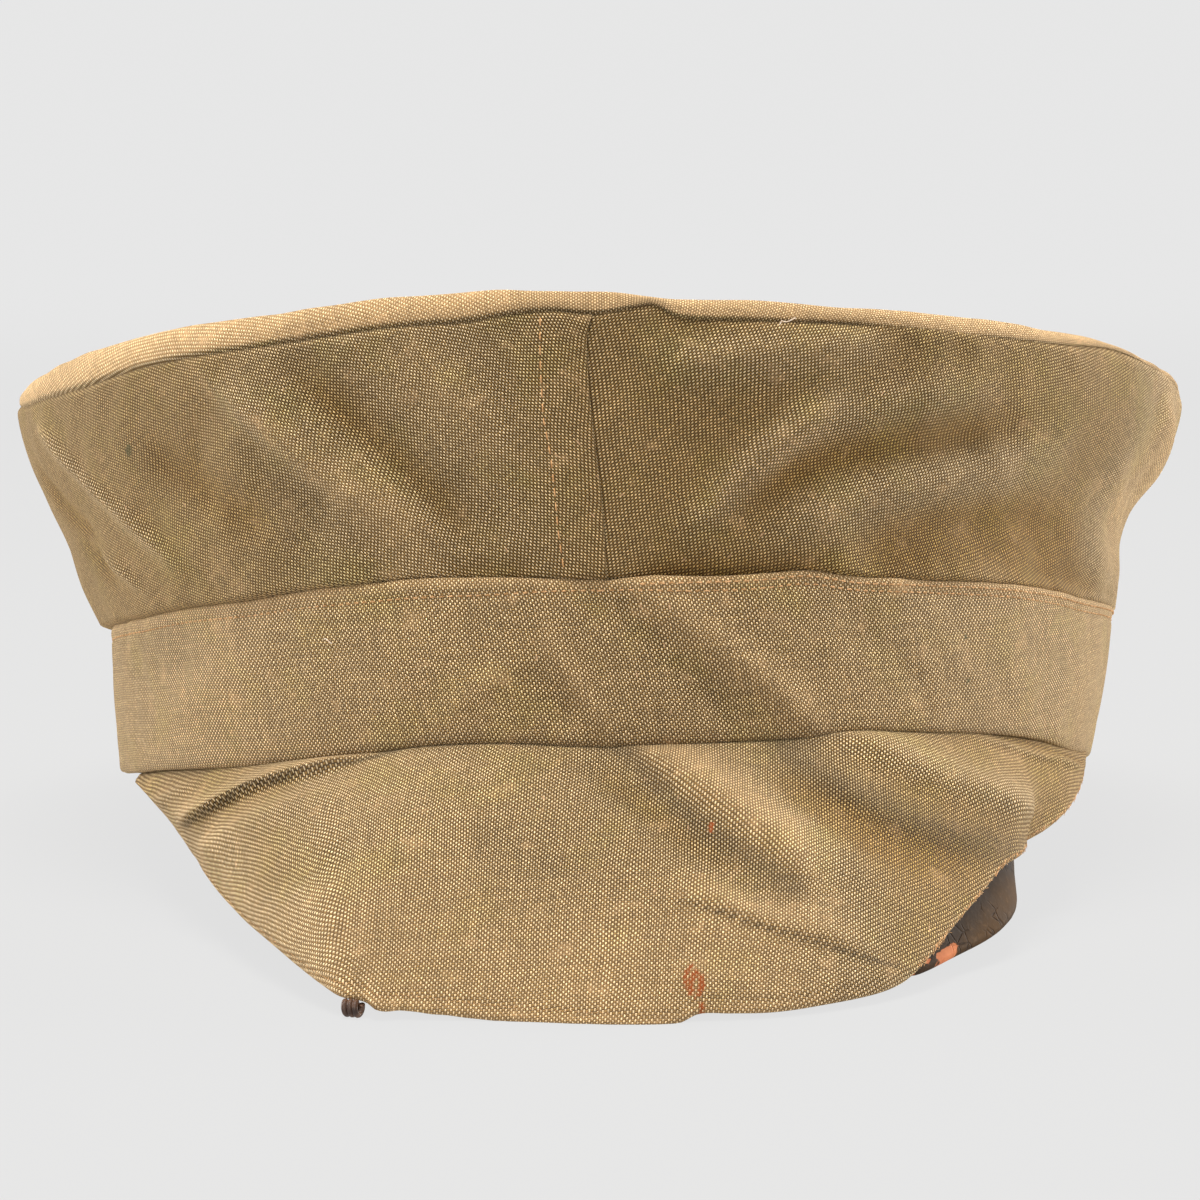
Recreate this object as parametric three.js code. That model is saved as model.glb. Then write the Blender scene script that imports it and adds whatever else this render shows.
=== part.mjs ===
import * as THREE from "three";

// Peaked cap of khaki cloth: flared crown, upright band, and a leather peak under a cloth cover.
// Millimetres, +Z up, the front towards -Y. The cap is modelled level, in the plane of its band,
// and is then laid down as it rests by itself: leaning back, on the band's back edge and the
// peak's front edge. Places round the head are angles in degrees, 0 at the front and positive
// towards +X.

const LEAN = THREE.MathUtils.degToRad(10.8);
const BAND_BACK = 98;
const CENTRE_SHIFT = { x: 1.2, y: 6.2 };

const CLOTH = 1.3;
const BAND_CLOTH = 1.6;
const LEATHER = 1.8;
const GAP = 0.35;

// Steps in degrees, fine on the front half, and the distance under which two points are one
const FINE_STEP = 4;
const COARSE_STEP = 7.5;
const ROUNDING = 1e-6;
const SAME_POINT = 0.002;

// Laps of the two side panels: how far each runs past the seam, and how far it moves out or in
const LAP = 4;
const UNDERLAP = 3.7;
const LAP_RAISE = 1.1;
const LAP_SINK = 0.6;

// Crown: depth inside the band, groove of the seam under the top, sag of the top, how far in the
// rim's turn ends, the share of the rim's height where its inside turns, and how steeply the top
// falls away from its rim
const CROWN_TUCK = 6;
const SEAM_PINCH = 0.8;
const TOP_SAG = 6;
const RIM_TURN = 3;
const INNER_TURN = 0.9;
const TOP_FALL = 3;

// Peak: its root's height inside the band and drop under it, its doming across, and the run of
// its level end face in thicknesses of the leather
const ROOT_TUCK = 5;
const ROOT_DROP = 0.8;
const PEAK_CROWN = 2.4;
const END_RUN = 2;
const COVER_PUFF = 0.7;
const FOLD_START = 0.2;

// Leather and cover at the root: span in degrees, space to the band, and the bend's height under
// the band's edge on the outer and the inner face
const LEATHER_ROOT = { from: -46, to: 48, inset: BAND_CLOTH + CLOTH + 2.4 * GAP, outer: -1.2, inner: -1 };
const COVER_ROOT = { from: -68, to: 75, inset: BAND_CLOTH + GAP, outer: -0.45, inner: -0.9 };

// Half sizes of the band's outside at heights above its plane
const BAND_SIZES = [
  { z: -5, left: 87.2, right: 86.0, front: 96.0, back: 98.0 },
  { z: 8, left: 88.0, right: 88.2, front: 97.0, back: 98.4 },
  { z: 25, left: 89.4, right: 91.0, front: 98.0, back: 99.0 },
];

// Half sizes of the crown's outside: it puffs out over the band, then flares to the top
const CROWN_SIZES = [
  { z: 19, left: 89.6, right: 91.0, front: 97.4, back: 98.4 },
  { z: 24, left: 92.1, right: 92.2, front: 97.8, back: 99.6 },
  { z: 29, left: 94.5, right: 92.4, front: 98.8, back: 100.8 },
  { z: 37, left: 97.2, right: 92.4, front: 100.2, back: 102.6 },
  { z: 43, left: 100.2, right: 94.6, front: 101.4, back: 104.2 },
  { z: 51, left: 103.8, right: 100.2, front: 103.0, back: 106.4 },
  { z: 58, left: 105.6, right: 102.5, front: 104.6, back: 108.6 },
  { z: 64, left: 105.4, right: 103.2, front: 106.0, back: 110.2 },
  { z: 69, left: 104.4, right: 103.0, front: 107.0, back: 111.2 },
];

// Heights round the head: band's lower and upper edge, seam under the top, top of the rim
const EDGES = [
  { phi: -180, low: -0.5, top: 24.0, seam: 62.4, rim: 66.4 },
  { phi: -120, low: -2.4, top: 22.0, seam: 61.2, rim: 65.2 },
  { phi: -82, low: -3.8, top: 20.3, seam: 60.2, rim: 63.8 },
  { phi: -64, low: -4.1, top: 20.3, seam: 58.4, rim: 64.2 },
  { phi: -47, low: -3.9, top: 21.0, seam: 59.7, rim: 65.6 },
  { phi: -33, low: -3.0, top: 22.2, seam: 61.0, rim: 66.4 },
  { phi: -19, low: -1.0, top: 23.6, seam: 62.7, rim: 67.7 },
  { phi: -8, low: -0.7, top: 23.3, seam: 63.9, rim: 68.1 },
  { phi: 0, low: -1.1, top: 23.1, seam: 64.3, rim: 67.6 },
  { phi: 10, low: -0.6, top: 23.7, seam: 63.4, rim: 66.7 },
  { phi: 22, low: 0.5, top: 24.7, seam: 63.2, rim: 66.3 },
  { phi: 35, low: 1.5, top: 24.0, seam: 63.0, rim: 66.4 },
  { phi: 50, low: 1.5, top: 24.3, seam: 63.5, rim: 66.1 },
  { phi: 64, low: 0.0, top: 23.6, seam: 62.8, rim: 65.2 },
  { phi: 82, low: -0.9, top: 24.0, seam: 62.0, rim: 64.5 },
  { phi: 120, low: -0.9, top: 23.6, seam: 61.9, rim: 65.2 },
  { phi: 180, low: -0.5, top: 24.0, seam: 62.4, rim: 66.4 },
];

// Outline of the peak and its cover together, on the cap as it lies: one row for each line that
// runs from the root at that angle
const PEAK_EDGE = [
  { phi: -68, x: -75.6, y: -41.0, z: 17.0 },
  { phi: -59, x: -68.2, y: -58.0, z: 13.2 },
  { phi: -49, x: -60.2, y: -80.5, z: 8.4 },
  { phi: -38, x: -49.6, y: -108.0, z: 5.0 },
  { phi: -31, x: -40.0, y: -126.2, z: 2.9 },
  { phi: -28, x: -36.0, y: -128.6, z: 2.4 },
  { phi: -22, x: -29.8, y: -129.8, z: 1.3 },
  { phi: -11, x: -15.5, y: -130.6, z: 0.0 },
  { phi: 0, x: 0.0, y: -131.8, z: 0.0 },
  { phi: 5, x: 7.4, y: -131.6, z: 0.0 },
  { phi: 11, x: 16.0, y: -130.4, z: 1.0 },
  { phi: 20, x: 29.5, y: -126.0, z: 1.3 },
  { phi: 29, x: 42.1, y: -117.6, z: 1.6 },
  { phi: 36, x: 52.4, y: -104.8, z: 3.6 },
  { phi: 43, x: 63.8, y: -89.0, z: 6.4 },
  { phi: 47, x: 65.2, y: -78.0, z: 9.0 },
  { phi: 52, x: 65.8, y: -69.5, z: 12.2 },
  { phi: 61, x: 75.0, y: -56.0, z: 15.0 },
  { phi: 70, x: 79.6, y: -41.0, z: 17.4 },
  { phi: 75, x: 81.0, y: -31.0, z: 18.4 },
];

// How far along those lines the leather and the cloth reach
const LEATHER_REACH = [
  { phi: -46, v: 0.8 },
  { phi: -41, v: 0.93 },
  { phi: -30, v: 0.9 },
  { phi: -20, v: 0.96 },
  { phi: -10, v: 1.0 },
  { phi: 42, v: 1.0 },
  { phi: 46, v: 0.99 },
  { phi: 48, v: 0.92 },
];
const COVER_REACH = [
  { phi: -68, v: 1.0 },
  { phi: 6, v: 1.0 },
  { phi: 11, v: 0.97 },
  { phi: 28, v: 0.99 },
  { phi: 33, v: 0.9 },
  { phi: 38, v: 0.77 },
  { phi: 44, v: 0.75 },
  { phi: 48, v: 0.84 },
  { phi: 53, v: 1.0 },
  { phi: 75, v: 1.0 },
];

// Folds of the crown's sides: from and to, as an angle and a share of the height
const CROWN_MM = { u: 1.78, v: 40 };
const CROWN_FOLDS = [
  { u0: -64, v0: 0.74, u1: -44, v1: 0.12, width: 6, height: 1.7 },
  { u0: -72, v0: 0.58, u1: -62, v1: 0.12, width: 6, height: -2.0 },
  { u0: -37, v0: 0.96, u1: -10, v1: 0.06, width: 8, height: 1.6 },
  { u0: -30, v0: 0.96, u1: -20, v1: 0.7, width: 6, height: -1.4 },
  { u0: 10, v0: 0.36, u1: 39, v1: 0.74, width: 7, height: -1.7 },
  { u0: 21, v0: 0.88, u1: 38, v1: 0.9, width: 6, height: 1.1 },
  { u0: 44, v0: 0.1, u1: 84, v1: 0.05, width: 5, height: -1.6 },
  { u0: 66, v0: 0.88, u1: 82, v1: 0.48, width: 7, height: 1.2 },
];

// Folds of the peak's cover: from and to, as an angle and a share of the way to the edge
const COVER_MM = { u: 1.6, v: 50 };
const COVER_FOLDS = [
  { u0: -52, v0: 0.25, u1: -60, v1: 0.6, width: 5, height: 1.2 },
  { u0: -26, v0: 0.1, u1: -46, v1: 0.7, width: 6, height: 1.6 },
  { u0: 6, v0: 0.08, u1: 28, v1: 0.62, width: 6, height: 1.8 },
  { u0: 38, v0: 0.12, u1: 64, v1: 0.6, width: 7, height: 2.0 },
  { u0: 14, v0: 0.6, u1: 32, v1: 0.82, width: 5, height: 1.2 },
];

const LOOP = { x: -37.4, y: -129.4, width: 3.6, radius: 1.2, round: 0.4, turn: -20, sides: 14 };

const COLOURS = {
  khaki: { color: 0xa88c5e, roughness: 0.92, metalness: 0 },
  khakiTop: { color: 0xb0926a, roughness: 0.92, metalness: 0 },
  leather: { color: 0x4d3f35, roughness: 0.55, metalness: 0 },
  loop: { color: 0x5c4737, roughness: 0.6, metalness: 0 },
};

const degrees = THREE.MathUtils.degToRad;
const { clamp, lerp, smoothstep } = THREE.MathUtils;

// Smooth run of one column of a table over its key column
function track(rows, key, column, at) {
  const last = rows.length - 1;
  const place = clamp(at, rows[0][key], rows[last][key]);
  let i = 0;
  while (i < last - 1 && rows[i + 1][key] < place) i += 1;
  const slope = (k) => {
    const before = rows[Math.max(k - 1, 0)];
    const after = rows[Math.min(k + 1, last)];
    return (after[column] - before[column]) / (after[key] - before[key]);
  };
  const span = rows[i + 1][key] - rows[i][key];
  const s = (place - rows[i][key]) / span;
  const rise = s * s * (3 - 2 * s);
  const bend = s * (1 - s) * span;
  return lerp(rows[i][column], rows[i + 1][column], rise)
    + bend * ((1 - s) * slope(i) - s * slope(i + 1));
}

// Sum of the folds at a point: each is a soft ridge or, if its height is negative, a valley
function relief(rows, scale, u, v) {
  let total = 0;
  for (const row of rows) {
    const along = { x: (row.u1 - row.u0) * scale.u, y: (row.v1 - row.v0) * scale.v };
    const away = { x: (u - row.u0) * scale.u, y: (v - row.v0) * scale.v };
    const share = (away.x * along.x + away.y * along.y) / (along.x ** 2 + along.y ** 2);
    const s = clamp(share, 0, 1);
    const far = Math.hypot(away.x - s * along.x, away.y - s * along.y);
    total += row.height * Math.exp(-((far / row.width) ** 2));
  }
  return total;
}

// Point of a ring round the head, level, moved in by inset
function ring(sizes, phi, z, inset) {
  const sin = Math.sin(degrees(phi));
  const cos = Math.cos(degrees(phi));
  const across = track(sizes, "z", sin < 0 ? "left" : "right", z) - inset;
  const along = track(sizes, "z", cos > 0 ? "front" : "back", z) - inset;
  return new THREE.Vector3(across * sin, -along * cos, z);
}

// Lays a level point down as the cap rests
function lay(point) {
  const level = point.clone();
  point.y = level.y * Math.cos(LEAN) + level.z * Math.sin(LEAN);
  point.z = level.z * Math.cos(LEAN) + (BAND_BACK - level.y) * Math.sin(LEAN);
  return point;
}

// Moves a resting point over the origin, and flattens what would lie under the surface
function settle(point) {
  return new THREE.Vector3(point.x + CENTRE_SHIFT.x, point.y + CENTRE_SHIFT.y, Math.max(point.z, 0));
}

// Angles from one to another, closer together on the front half
function angles(from, to) {
  const list = [from];
  let phi = from;
  while (phi < to) {
    const step = phi >= -90 && phi < 90 ? FINE_STEP : COARSE_STEP;
    phi = Math.min((Math.floor(phi / step + ROUNDING) + 1) * step, to);
    list.push(phi);
  }
  return list;
}

// Closed body through sections, each with as many outer as inner points. A round one joins its
// last section to its first, and any other is closed by the faces at its two ends.
function loft(sections, round) {
  const corners = [];
  const face = (a, b, c) => {
    const flat = a.distanceTo(b) < SAME_POINT || b.distanceTo(c) < SAME_POINT;
    if (!flat && c.distanceTo(a) >= SAME_POINT) corners.push(a, b, c);
  };
  const loops = sections.map(({ outer, inner }) => [...outer, ...inner.slice().reverse()]);
  const size = loops[0].length;
  const steps = round ? loops.length : loops.length - 1;
  for (let i = 0; i < steps; i += 1) {
    const here = loops[i];
    const next = loops[(i + 1) % loops.length];
    for (let j = 0; j < size; j += 1) {
      const k = (j + 1) % size;
      face(here[j], next[j], next[k]);
      face(here[j], next[k], here[k]);
    }
  }
  if (!round) {
    const start = sections[0];
    const end = sections[sections.length - 1];
    for (let j = 0; j < start.outer.length - 1; j += 1) {
      face(start.outer[j], start.outer[j + 1], start.inner[j + 1]);
      face(start.outer[j], start.inner[j + 1], start.inner[j]);
      face(end.outer[j], end.inner[j + 1], end.outer[j + 1]);
      face(end.outer[j], end.inner[j], end.inner[j + 1]);
    }
  }
  return new THREE.BufferGeometry().setFromPoints(corners);
}

function piece(name, geometry, look) {
  const mesh = new THREE.Mesh(geometry, new THREE.MeshStandardMaterial(look));
  mesh.name = name;
  geometry.computeVertexNormals();
  return mesh;
}

const edge = (column, phi) => track(EDGES, "phi", column, phi > 180 ? phi - 360 : phi);

// Band: upright ring with softly rounded edges
function makeBand() {
  const rows = [
    { share: 0, round: 0.35 },
    { share: 0.05, round: 0 },
    { share: 0.5, round: -0.2 },
    { share: 0.95, round: 0 },
    { share: 1, round: 0.35 },
  ];
  const sections = angles(-180, 180).slice(1).map((phi) => {
    const at = (share, inset) => {
      const z = lerp(edge("low", phi), edge("top", phi), share);
      return settle(lay(ring(BAND_SIZES, phi, z, inset)));
    };
    return {
      outer: rows.map(({ share, round }) => at(share, round)),
      inner: rows.map(({ share }) => at(share, BAND_CLOTH)),
    };
  });
  return loft(sections, true);
}

// Side panel of the crown between two angles. Its lower edge is tucked inside the band and its
// upper edge ends at the seam under the top. Its layer at an angle is 1 where it lies over the
// other panel, -1 where it lies under it, and 0 where it is by itself.
function makeCrownSide(from, to, layer) {
  const shares = [0.05, 0.13, 0.24, 0.36, 0.49, 0.62, 0.75, 0.87, 0.96];
  const sections = angles(from, to).map((phi) => {
    const foot = edge("top", phi);
    const head = edge("seam", phi) - GAP / 2;
    const over = Math.max(layer(phi), 0);
    const under = Math.max(-layer(phi), 0);
    const lapped = over * LAP_RAISE - under * LAP_SINK;
    const tuckInset = BAND_CLOTH + GAP + under * (CLOTH + GAP);
    const tucked = (z, depth) => ring(BAND_SIZES, phi, z, tuckInset + depth);
    const free = (share, depth) => {
      const out = relief(CROWN_FOLDS, CROWN_MM, phi, share) + lapped;
      return ring(CROWN_SIZES, phi, lerp(foot, head, share), depth - out);
    };
    const seam = (depth) => ring(CROWN_SIZES, phi, head, SEAM_PINCH + depth - lapped);
    const run = (depth) => [
      tucked(foot - CROWN_TUCK, depth),
      tucked(foot + GAP, depth),
      ...shares.map((share) => free(share, depth)),
      seam(depth),
    ].map((point) => settle(lay(point)));
    return { outer: run(0), inner: run(CLOTH) };
  });
  return loft(sections, false);
}

// The left panel lies over the right one at the front, and under it at the back
function makeCrownSideLeft() {
  const over = (phi) => smoothstep(phi, -LAP - FINE_STEP, -LAP);
  const under = (phi) => 1 - smoothstep(phi, -180 + COARSE_STEP, -180 + 2 * COARSE_STEP);
  return makeCrownSide(-180, 0, (phi) => over(phi) - under(phi));
}

function makeCrownSideRight() {
  const over = (phi) => smoothstep(phi, 180 - COARSE_STEP, 180);
  const under = (phi) => 1 - smoothstep(phi, 0, FINE_STEP);
  return makeCrownSide(-UNDERLAP, 180 + LAP, (phi) => over(phi) - under(phi));
}

// Top panel: its edge turns down to the seam, and its middle sags a little
function makeCrownTop() {
  const rim = [
    { height: 0, inset: SEAM_PINCH },
    { height: 0.35, inset: -0.1 },
    { height: 0.75, inset: 0.2 },
    { height: 0.96, inset: 1.2 },
    { height: 1, inset: RIM_TURN },
  ];
  const spread = [0.93, 0.75, 0.5, 0.25, 0];
  const middle = edge("rim", 180);
  const sections = angles(-180, 180).slice(1).map((phi) => {
    const foot = edge("seam", phi) + GAP / 2;
    const crest = edge("rim", phi);
    const outer = rim.map(({ height, inset }) => ring(CROWN_SIZES, phi, lerp(foot, crest, height), inset));
    const inner = rim.map(({ height, inset }) => {
      const z = lerp(foot, crest - CLOTH, Math.min(height / INNER_TURN, 1));
      return ring(CROWN_SIZES, phi, z, Math.max(inset, SEAM_PINCH) + CLOTH);
    });
    for (const share of spread) {
      const flat = lerp(middle, crest, share ** TOP_FALL) - TOP_SAG * (1 - share * share);
      const point = ring(CROWN_SIZES, phi, crest, RIM_TURN).multiplyScalar(share).setZ(flat);
      outer.push(point);
      inner.push(point.clone().setZ(flat - CLOTH));
    }
    const down = (point) => settle(lay(point));
    return { outer: outer.map(down), inner: inner.map(down) };
  });
  return loft(sections, true);
}

// Point of the peak's upper face: share 0 at the root, 1 at the outline, height over the face
function peakFace(phi, share, height) {
  const near = { phi: 1, share: 0.05 };
  const inset = BAND_CLOTH + CLOTH + 2 * GAP;
  const point = (angle, v) => {
    const root = lay(ring(BAND_SIZES, angle, edge("low", angle) - ROOT_DROP, inset));
    const end = new THREE.Vector3(
      track(PEAK_EDGE, "phi", "x", angle),
      track(PEAK_EDGE, "phi", "y", angle),
      track(PEAK_EDGE, "phi", "z", angle),
    );
    return root.lerp(end, v);
  };
  const here = point(phi, share);
  const across = point(phi + near.phi, share).sub(point(phi - near.phi, share));
  const along = point(phi, share + near.share).sub(point(phi, share - near.share));
  const out = across.cross(along).normalize().negate();
  const crown = PEAK_CROWN * Math.sin(Math.PI * clamp(share, 0, 1)) * Math.cos(degrees(phi));
  return here.addScaledVector(out, crown + height);
}

// Root of the leather or its cover: turned up inside the band, from its top down to the bend
function rootFlange(phi, root, thickness) {
  const at = (z, depth) => lay(ring(BAND_SIZES, phi, edge("low", phi) + z, root.inset + depth));
  return {
    outer: [at(ROOT_TUCK, 0), at(root.outer, 0)],
    inner: [at(ROOT_TUCK, thickness), at(root.inner, thickness)],
  };
}

// Leather peak: its end face is level, so that it lies flat where it rests
function makePeak() {
  const shares = [0.04, 0.16, 0.32, 0.5, 0.68, 0.84, 1];
  const sections = angles(LEATHER_ROOT.from, LEATHER_ROOT.to).map((phi) => {
    const reach = track(LEATHER_REACH, "phi", "v", phi);
    const { outer, inner } = rootFlange(phi, LEATHER_ROOT, LEATHER);
    for (const share of shares) {
      outer.push(peakFace(phi, share * reach, 0));
      inner.push(peakFace(phi, share * reach, -LEATHER));
    }
    const tip = outer[outer.length - 1];
    const heel = inner[inner.length - 1];
    heel.set(lerp(tip.x, heel.x, END_RUN), lerp(tip.y, heel.y, END_RUN), tip.z);
    return { outer: outer.map(settle).reverse(), inner: inner.map(settle).reverse() };
  });
  return loft(sections, false);
}

// Cloth cover: follows the leather with a gap under it, and puffs and creases over it
function makePeakCover() {
  const shares = [0.05, 0.13, 0.23, 0.34, 0.46, 0.58, 0.7, 0.81, 0.91, 1];
  const sections = angles(COVER_ROOT.from, COVER_ROOT.to).map((phi) => {
    const reach = track(COVER_REACH, "phi", "v", phi);
    const { outer, inner } = rootFlange(phi, COVER_ROOT, CLOTH);
    for (const share of shares) {
      const v = share * reach;
      const puff = COVER_PUFF * Math.sin(Math.PI * share);
      const folds = Math.max(relief(COVER_FOLDS, COVER_MM, phi, v), 0);
      const under = GAP + puff + folds * smoothstep(share, 0, FOLD_START);
      outer.push(peakFace(phi, v, under + CLOTH));
      inner.push(peakFace(phi, v, under));
    }
    return { outer: outer.map(settle).reverse(), inner: inner.map(settle).reverse() };
  });
  return loft(sections, false);
}

// Small loop at the left corner of the peak's edge: a tight winding that lies along the edge
function makeLoop() {
  const half = LOOP.width / 2;
  const end = LOOP.radius - LOOP.round;
  const profile = [
    new THREE.Vector2(0, -half),
    new THREE.Vector2(end, -half),
    new THREE.Vector2(LOOP.radius, -half + LOOP.round),
    new THREE.Vector2(LOOP.radius, half - LOOP.round),
    new THREE.Vector2(end, half),
    new THREE.Vector2(0, half),
  ];
  const winding = new THREE.LatheGeometry(profile, LOOP.sides);
  winding.rotateZ(Math.PI / 2);
  winding.rotateZ(degrees(LOOP.turn));
  const place = settle(new THREE.Vector3(LOOP.x, LOOP.y, LOOP.radius));
  return winding.translate(place.x, place.y, place.z);
}

const cap = new THREE.Group();
cap.add(
  piece("crown_top", makeCrownTop(), COLOURS.khakiTop),
  piece("crown_side_left", makeCrownSideLeft(), COLOURS.khaki),
  piece("crown_side_right", makeCrownSideRight(), COLOURS.khaki),
  piece("band", makeBand(), COLOURS.khaki),
  piece("peak", makePeak(), COLOURS.leather),
  piece("peak_cover", makePeakCover(), COLOURS.khaki),
  piece("peak_loop", makeLoop(), COLOURS.loop),
);

export default cap;
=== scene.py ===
"""Peaked cap of khaki cloth, with a leather peak under a slipped cloth cover.

Shapes are worked out in millimetres: level first, in the plane of the band, and then laid down
as the cap rests. Metres come in only where a mesh is made. Places round the head are angles in
degrees, 0 at the front and positive towards +X.
"""
import math

import bpy
import numpy as np
from mathutils import Euler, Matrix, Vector


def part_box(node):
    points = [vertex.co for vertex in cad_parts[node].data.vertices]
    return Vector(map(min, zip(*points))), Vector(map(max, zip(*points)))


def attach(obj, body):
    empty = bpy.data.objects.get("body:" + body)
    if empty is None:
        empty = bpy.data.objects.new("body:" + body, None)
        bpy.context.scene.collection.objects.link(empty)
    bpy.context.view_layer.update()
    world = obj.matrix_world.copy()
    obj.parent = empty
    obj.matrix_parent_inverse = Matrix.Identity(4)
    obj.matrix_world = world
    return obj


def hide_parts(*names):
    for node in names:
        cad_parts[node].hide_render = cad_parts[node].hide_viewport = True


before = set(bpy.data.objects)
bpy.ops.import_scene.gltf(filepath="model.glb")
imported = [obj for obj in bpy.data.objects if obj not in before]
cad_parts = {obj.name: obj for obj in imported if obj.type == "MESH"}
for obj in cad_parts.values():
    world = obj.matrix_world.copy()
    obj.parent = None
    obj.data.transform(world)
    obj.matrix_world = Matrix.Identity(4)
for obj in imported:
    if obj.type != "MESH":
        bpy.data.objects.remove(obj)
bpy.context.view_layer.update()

MM = 0.001


def table(names, *rows):
    """Short table as a dict of columns."""
    return dict(zip(names.split(), np.array(rows, float).T))


# Sizes of the cap, in mm
LEAN = math.radians(10.8)
BAND_BACK = 98.0
CENTRE_SHIFT = np.array([1.2, 6.2, 0.0])
CLOTH = 1.3
LAP_CLOTH = 0.7
BAND_CLOTH = 1.6
LEATHER = 1.8
GAP = 0.35
CROWN_TUCK = 6.0
TOP_SAG = 6.0
RIM_TURN = 3.0
TOP_FALL = 3
ROOT_TUCK = 5.0
ROOT_DROP = 0.8
PEAK_CROWN = 2.4
COVER_PUFF = 1.1
UNDERLAP = 5.0
UNDERLAP_FADE = 5.0
LAP_FLAT = 2.0
LAP_FADE = 7.0
LAP_RAISE = 0.5
LAP_SINK = 0.5
# The side panels have this much more cloth than their flat length
SIDE_EASE = 1.04
EMERGE = 0.035
HEM = 1.0
HEM_DROP = 0.7
HEM_SPAN = (-66.0, 4.0)
FRAY_SPAN = (31, 70)
FRAY_COUNT = 260
STITCH_GROOVE = 0.32
SEAM_GROOVE = 0.4

BAND_SIZES = table(
    "z left right front back",
    (-5, 87.2, 86, 96, 98), (8, 88, 88.2, 97, 98.4), (25, 89.4, 91, 98, 99),
)
CROWN_SIZES = table(
    "z left right front back",
    (19, 89.6, 91, 97.4, 98.4), (24, 92.1, 92.2, 97.8, 99.6), (29, 94.5, 92.4, 98.8, 100.8),
    (37, 97.2, 92.4, 100.2, 102.6), (43, 100.2, 94.6, 101.4, 104.2), (51, 103.8, 100.2, 103, 106.4),
    (58, 105.6, 102.5, 104.6, 108.6), (64, 105.4, 103.2, 106, 110.2), (69, 104.4, 103, 107, 111.2),
)

# Heights round the head of the band's two edges, the seam under the top, and the rim's crest
LOW = table(
    "phi z",
    (-180, -0.5), (-120, -2.4), (-82, -3.7), (-70, -4.1), (-56, -4), (-44, -3.8), (-35, -3.2),
    (-25, -2), (-20, -1.1), (-11, -0.6), (-1, -1.1), (10, -0.6), (20, 0.3), (26, 1.4), (33, 1.5),
    (48, 1.5), (57, 0.9), (68, -0.7), (81, -0.9), (120, -0.9), (180, -0.5),
)
TOP = table(
    "phi z",
    (-180, 24), (-120, 22), (-82, 20.3), (-60, 20.3), (-52, 20.9), (-41, 21.2), (-33, 22.3),
    (-26, 23), (-19, 23.6), (-11, 23.5), (-1, 23.1), (9, 23.6), (15, 24.1), (20, 24.9), (26, 24.1),
    (43, 24.4), (53, 24.2), (64, 23.5), (82, 24), (120, 23.6), (180, 24),
)
SEAM = table(
    "phi z",
    (-180, 62.4), (-120, 61.2), (-83, 60.6), (-74, 58.7), (-57, 58.3), (-47, 59.7), (-40, 60.5),
    (-34, 60.9), (-26, 61.7), (-18, 62.8), (-12, 63.1), (-9, 63.9), (-5, 64.5), (-1, 64), (3, 65.2),
    (4, 65.3), (6, 63.6), (10, 63.3), (22, 63.4), (33, 63.1), (45, 63.4), (54, 64.2), (66, 63),
    (82, 62), (120, 61.9), (180, 62.4),
)
RIM = table(
    "phi z",
    (-180, 66.4), (-120, 65.2), (-83, 63.8), (-68, 63.8), (-59, 64.6), (-47, 65.6), (-39, 66),
    (-32, 66.4), (-26, 66.8), (-20, 67.6), (-14, 67.8), (-9, 68.2), (-4, 67.8), (1, 67.4), (6, 66.5),
    (11, 66.8), (22, 66.2), (28, 66.5), (42, 66.1), (51, 66), (57, 65.6), (66, 64.6), (82, 64.5),
    (120, 65.2), (180, 66.4),
)
# How open the seam under the top is
SEAM_OPEN = table(
    "phi open",
    (-180, 0.6), (-66, 0.8), (-50, 1), (21, 1), (25, 0.25), (34, 0.2), (40, 0.6), (58, 0.6),
    (66, 0.2), (180, 0.6),
)
# Section of the rim: share of its height, and how far in it lies
RIM_PROFILE = table(
    "h inset",
    (0, 0.45), (0.05, 0.2), (0.12, 0.1), (0.4, 0.1), (0.66, 0.55), (0.85, 1.25), (0.96, 2.1),
    (1, RIM_TURN),
)

# Outline of the peak and its cover, on the cap as it lies: a row for each line from the root
PEAK_EDGE = table(
    "phi x y z",
    (-68, -75.6, -41, 17), (-59, -68.2, -58, 13.2), (-49, -60.2, -80.5, 8.4),
    (-38, -49.6, -108, 5), (-31, -40, -126.2, 2.9), (-28, -36, -128.6, 2.4),
    (-22, -29.8, -129.8, 1.3), (-11, -15.5, -130.6, 0), (0, 0, -131.8, 0),
    (5, 7.4, -131.6, 0), (11, 16, -130.4, 1), (20, 29.5, -126, 1.3),
    (29, 42.1, -117.6, 1.6), (36, 52.4, -104.8, 3.6), (43, 63.8, -89, 6.4),
    (47, 65.2, -78, 9), (52, 65.8, -69.5, 12.2), (61, 75, -56, 15),
    (70, 79.6, -41, 17.4), (75, 81, -31, 18.4),
)
LEATHER_REACH = table(
    "phi v",
    (-46, 0.78), (-41, 0.88), (-30, 0.87), (-20, 0.9), (-10, 0.925), (26, 0.925), (30, 0.94),
    (33, 0.975), (38, 0.985), (41, 0.985), (44, 0.97), (46, 0.96), (48, 0.91),
)
COVER_REACH = table(
    "phi v",
    (-68, 0.98), (-37, 0.98), (-33, 0.99), (-30, 1), (-27.5, 1), (-26, 1.02), (-22, 1), (-11, 1),
    (4, 1.02), (7, 1.01), (9, 0.99), (12, 1), (16, 1.01), (25, 1), (30, 0.99), (32, 0.965), (35, 0.9),
    (38, 0.83), (42, 0.73), (46, 0.75), (50, 0.84), (54, 0.92), (57, 0.93), (61, 0.87), (65, 0.79),
    (68, 0.74), (71, 0.64), (75, 0.54),
)
# Distance of the stitches under the band's upper edge
STITCH_DROP = table(
    "phi z",
    (-180, 1.5), (-45, 1.6), (-25, 2.2), (-13, 2.1), (-5, 1.2), (1, 0.95), (8, 1.5), (30, 1.3),
    (180, 1.5),
)
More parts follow.
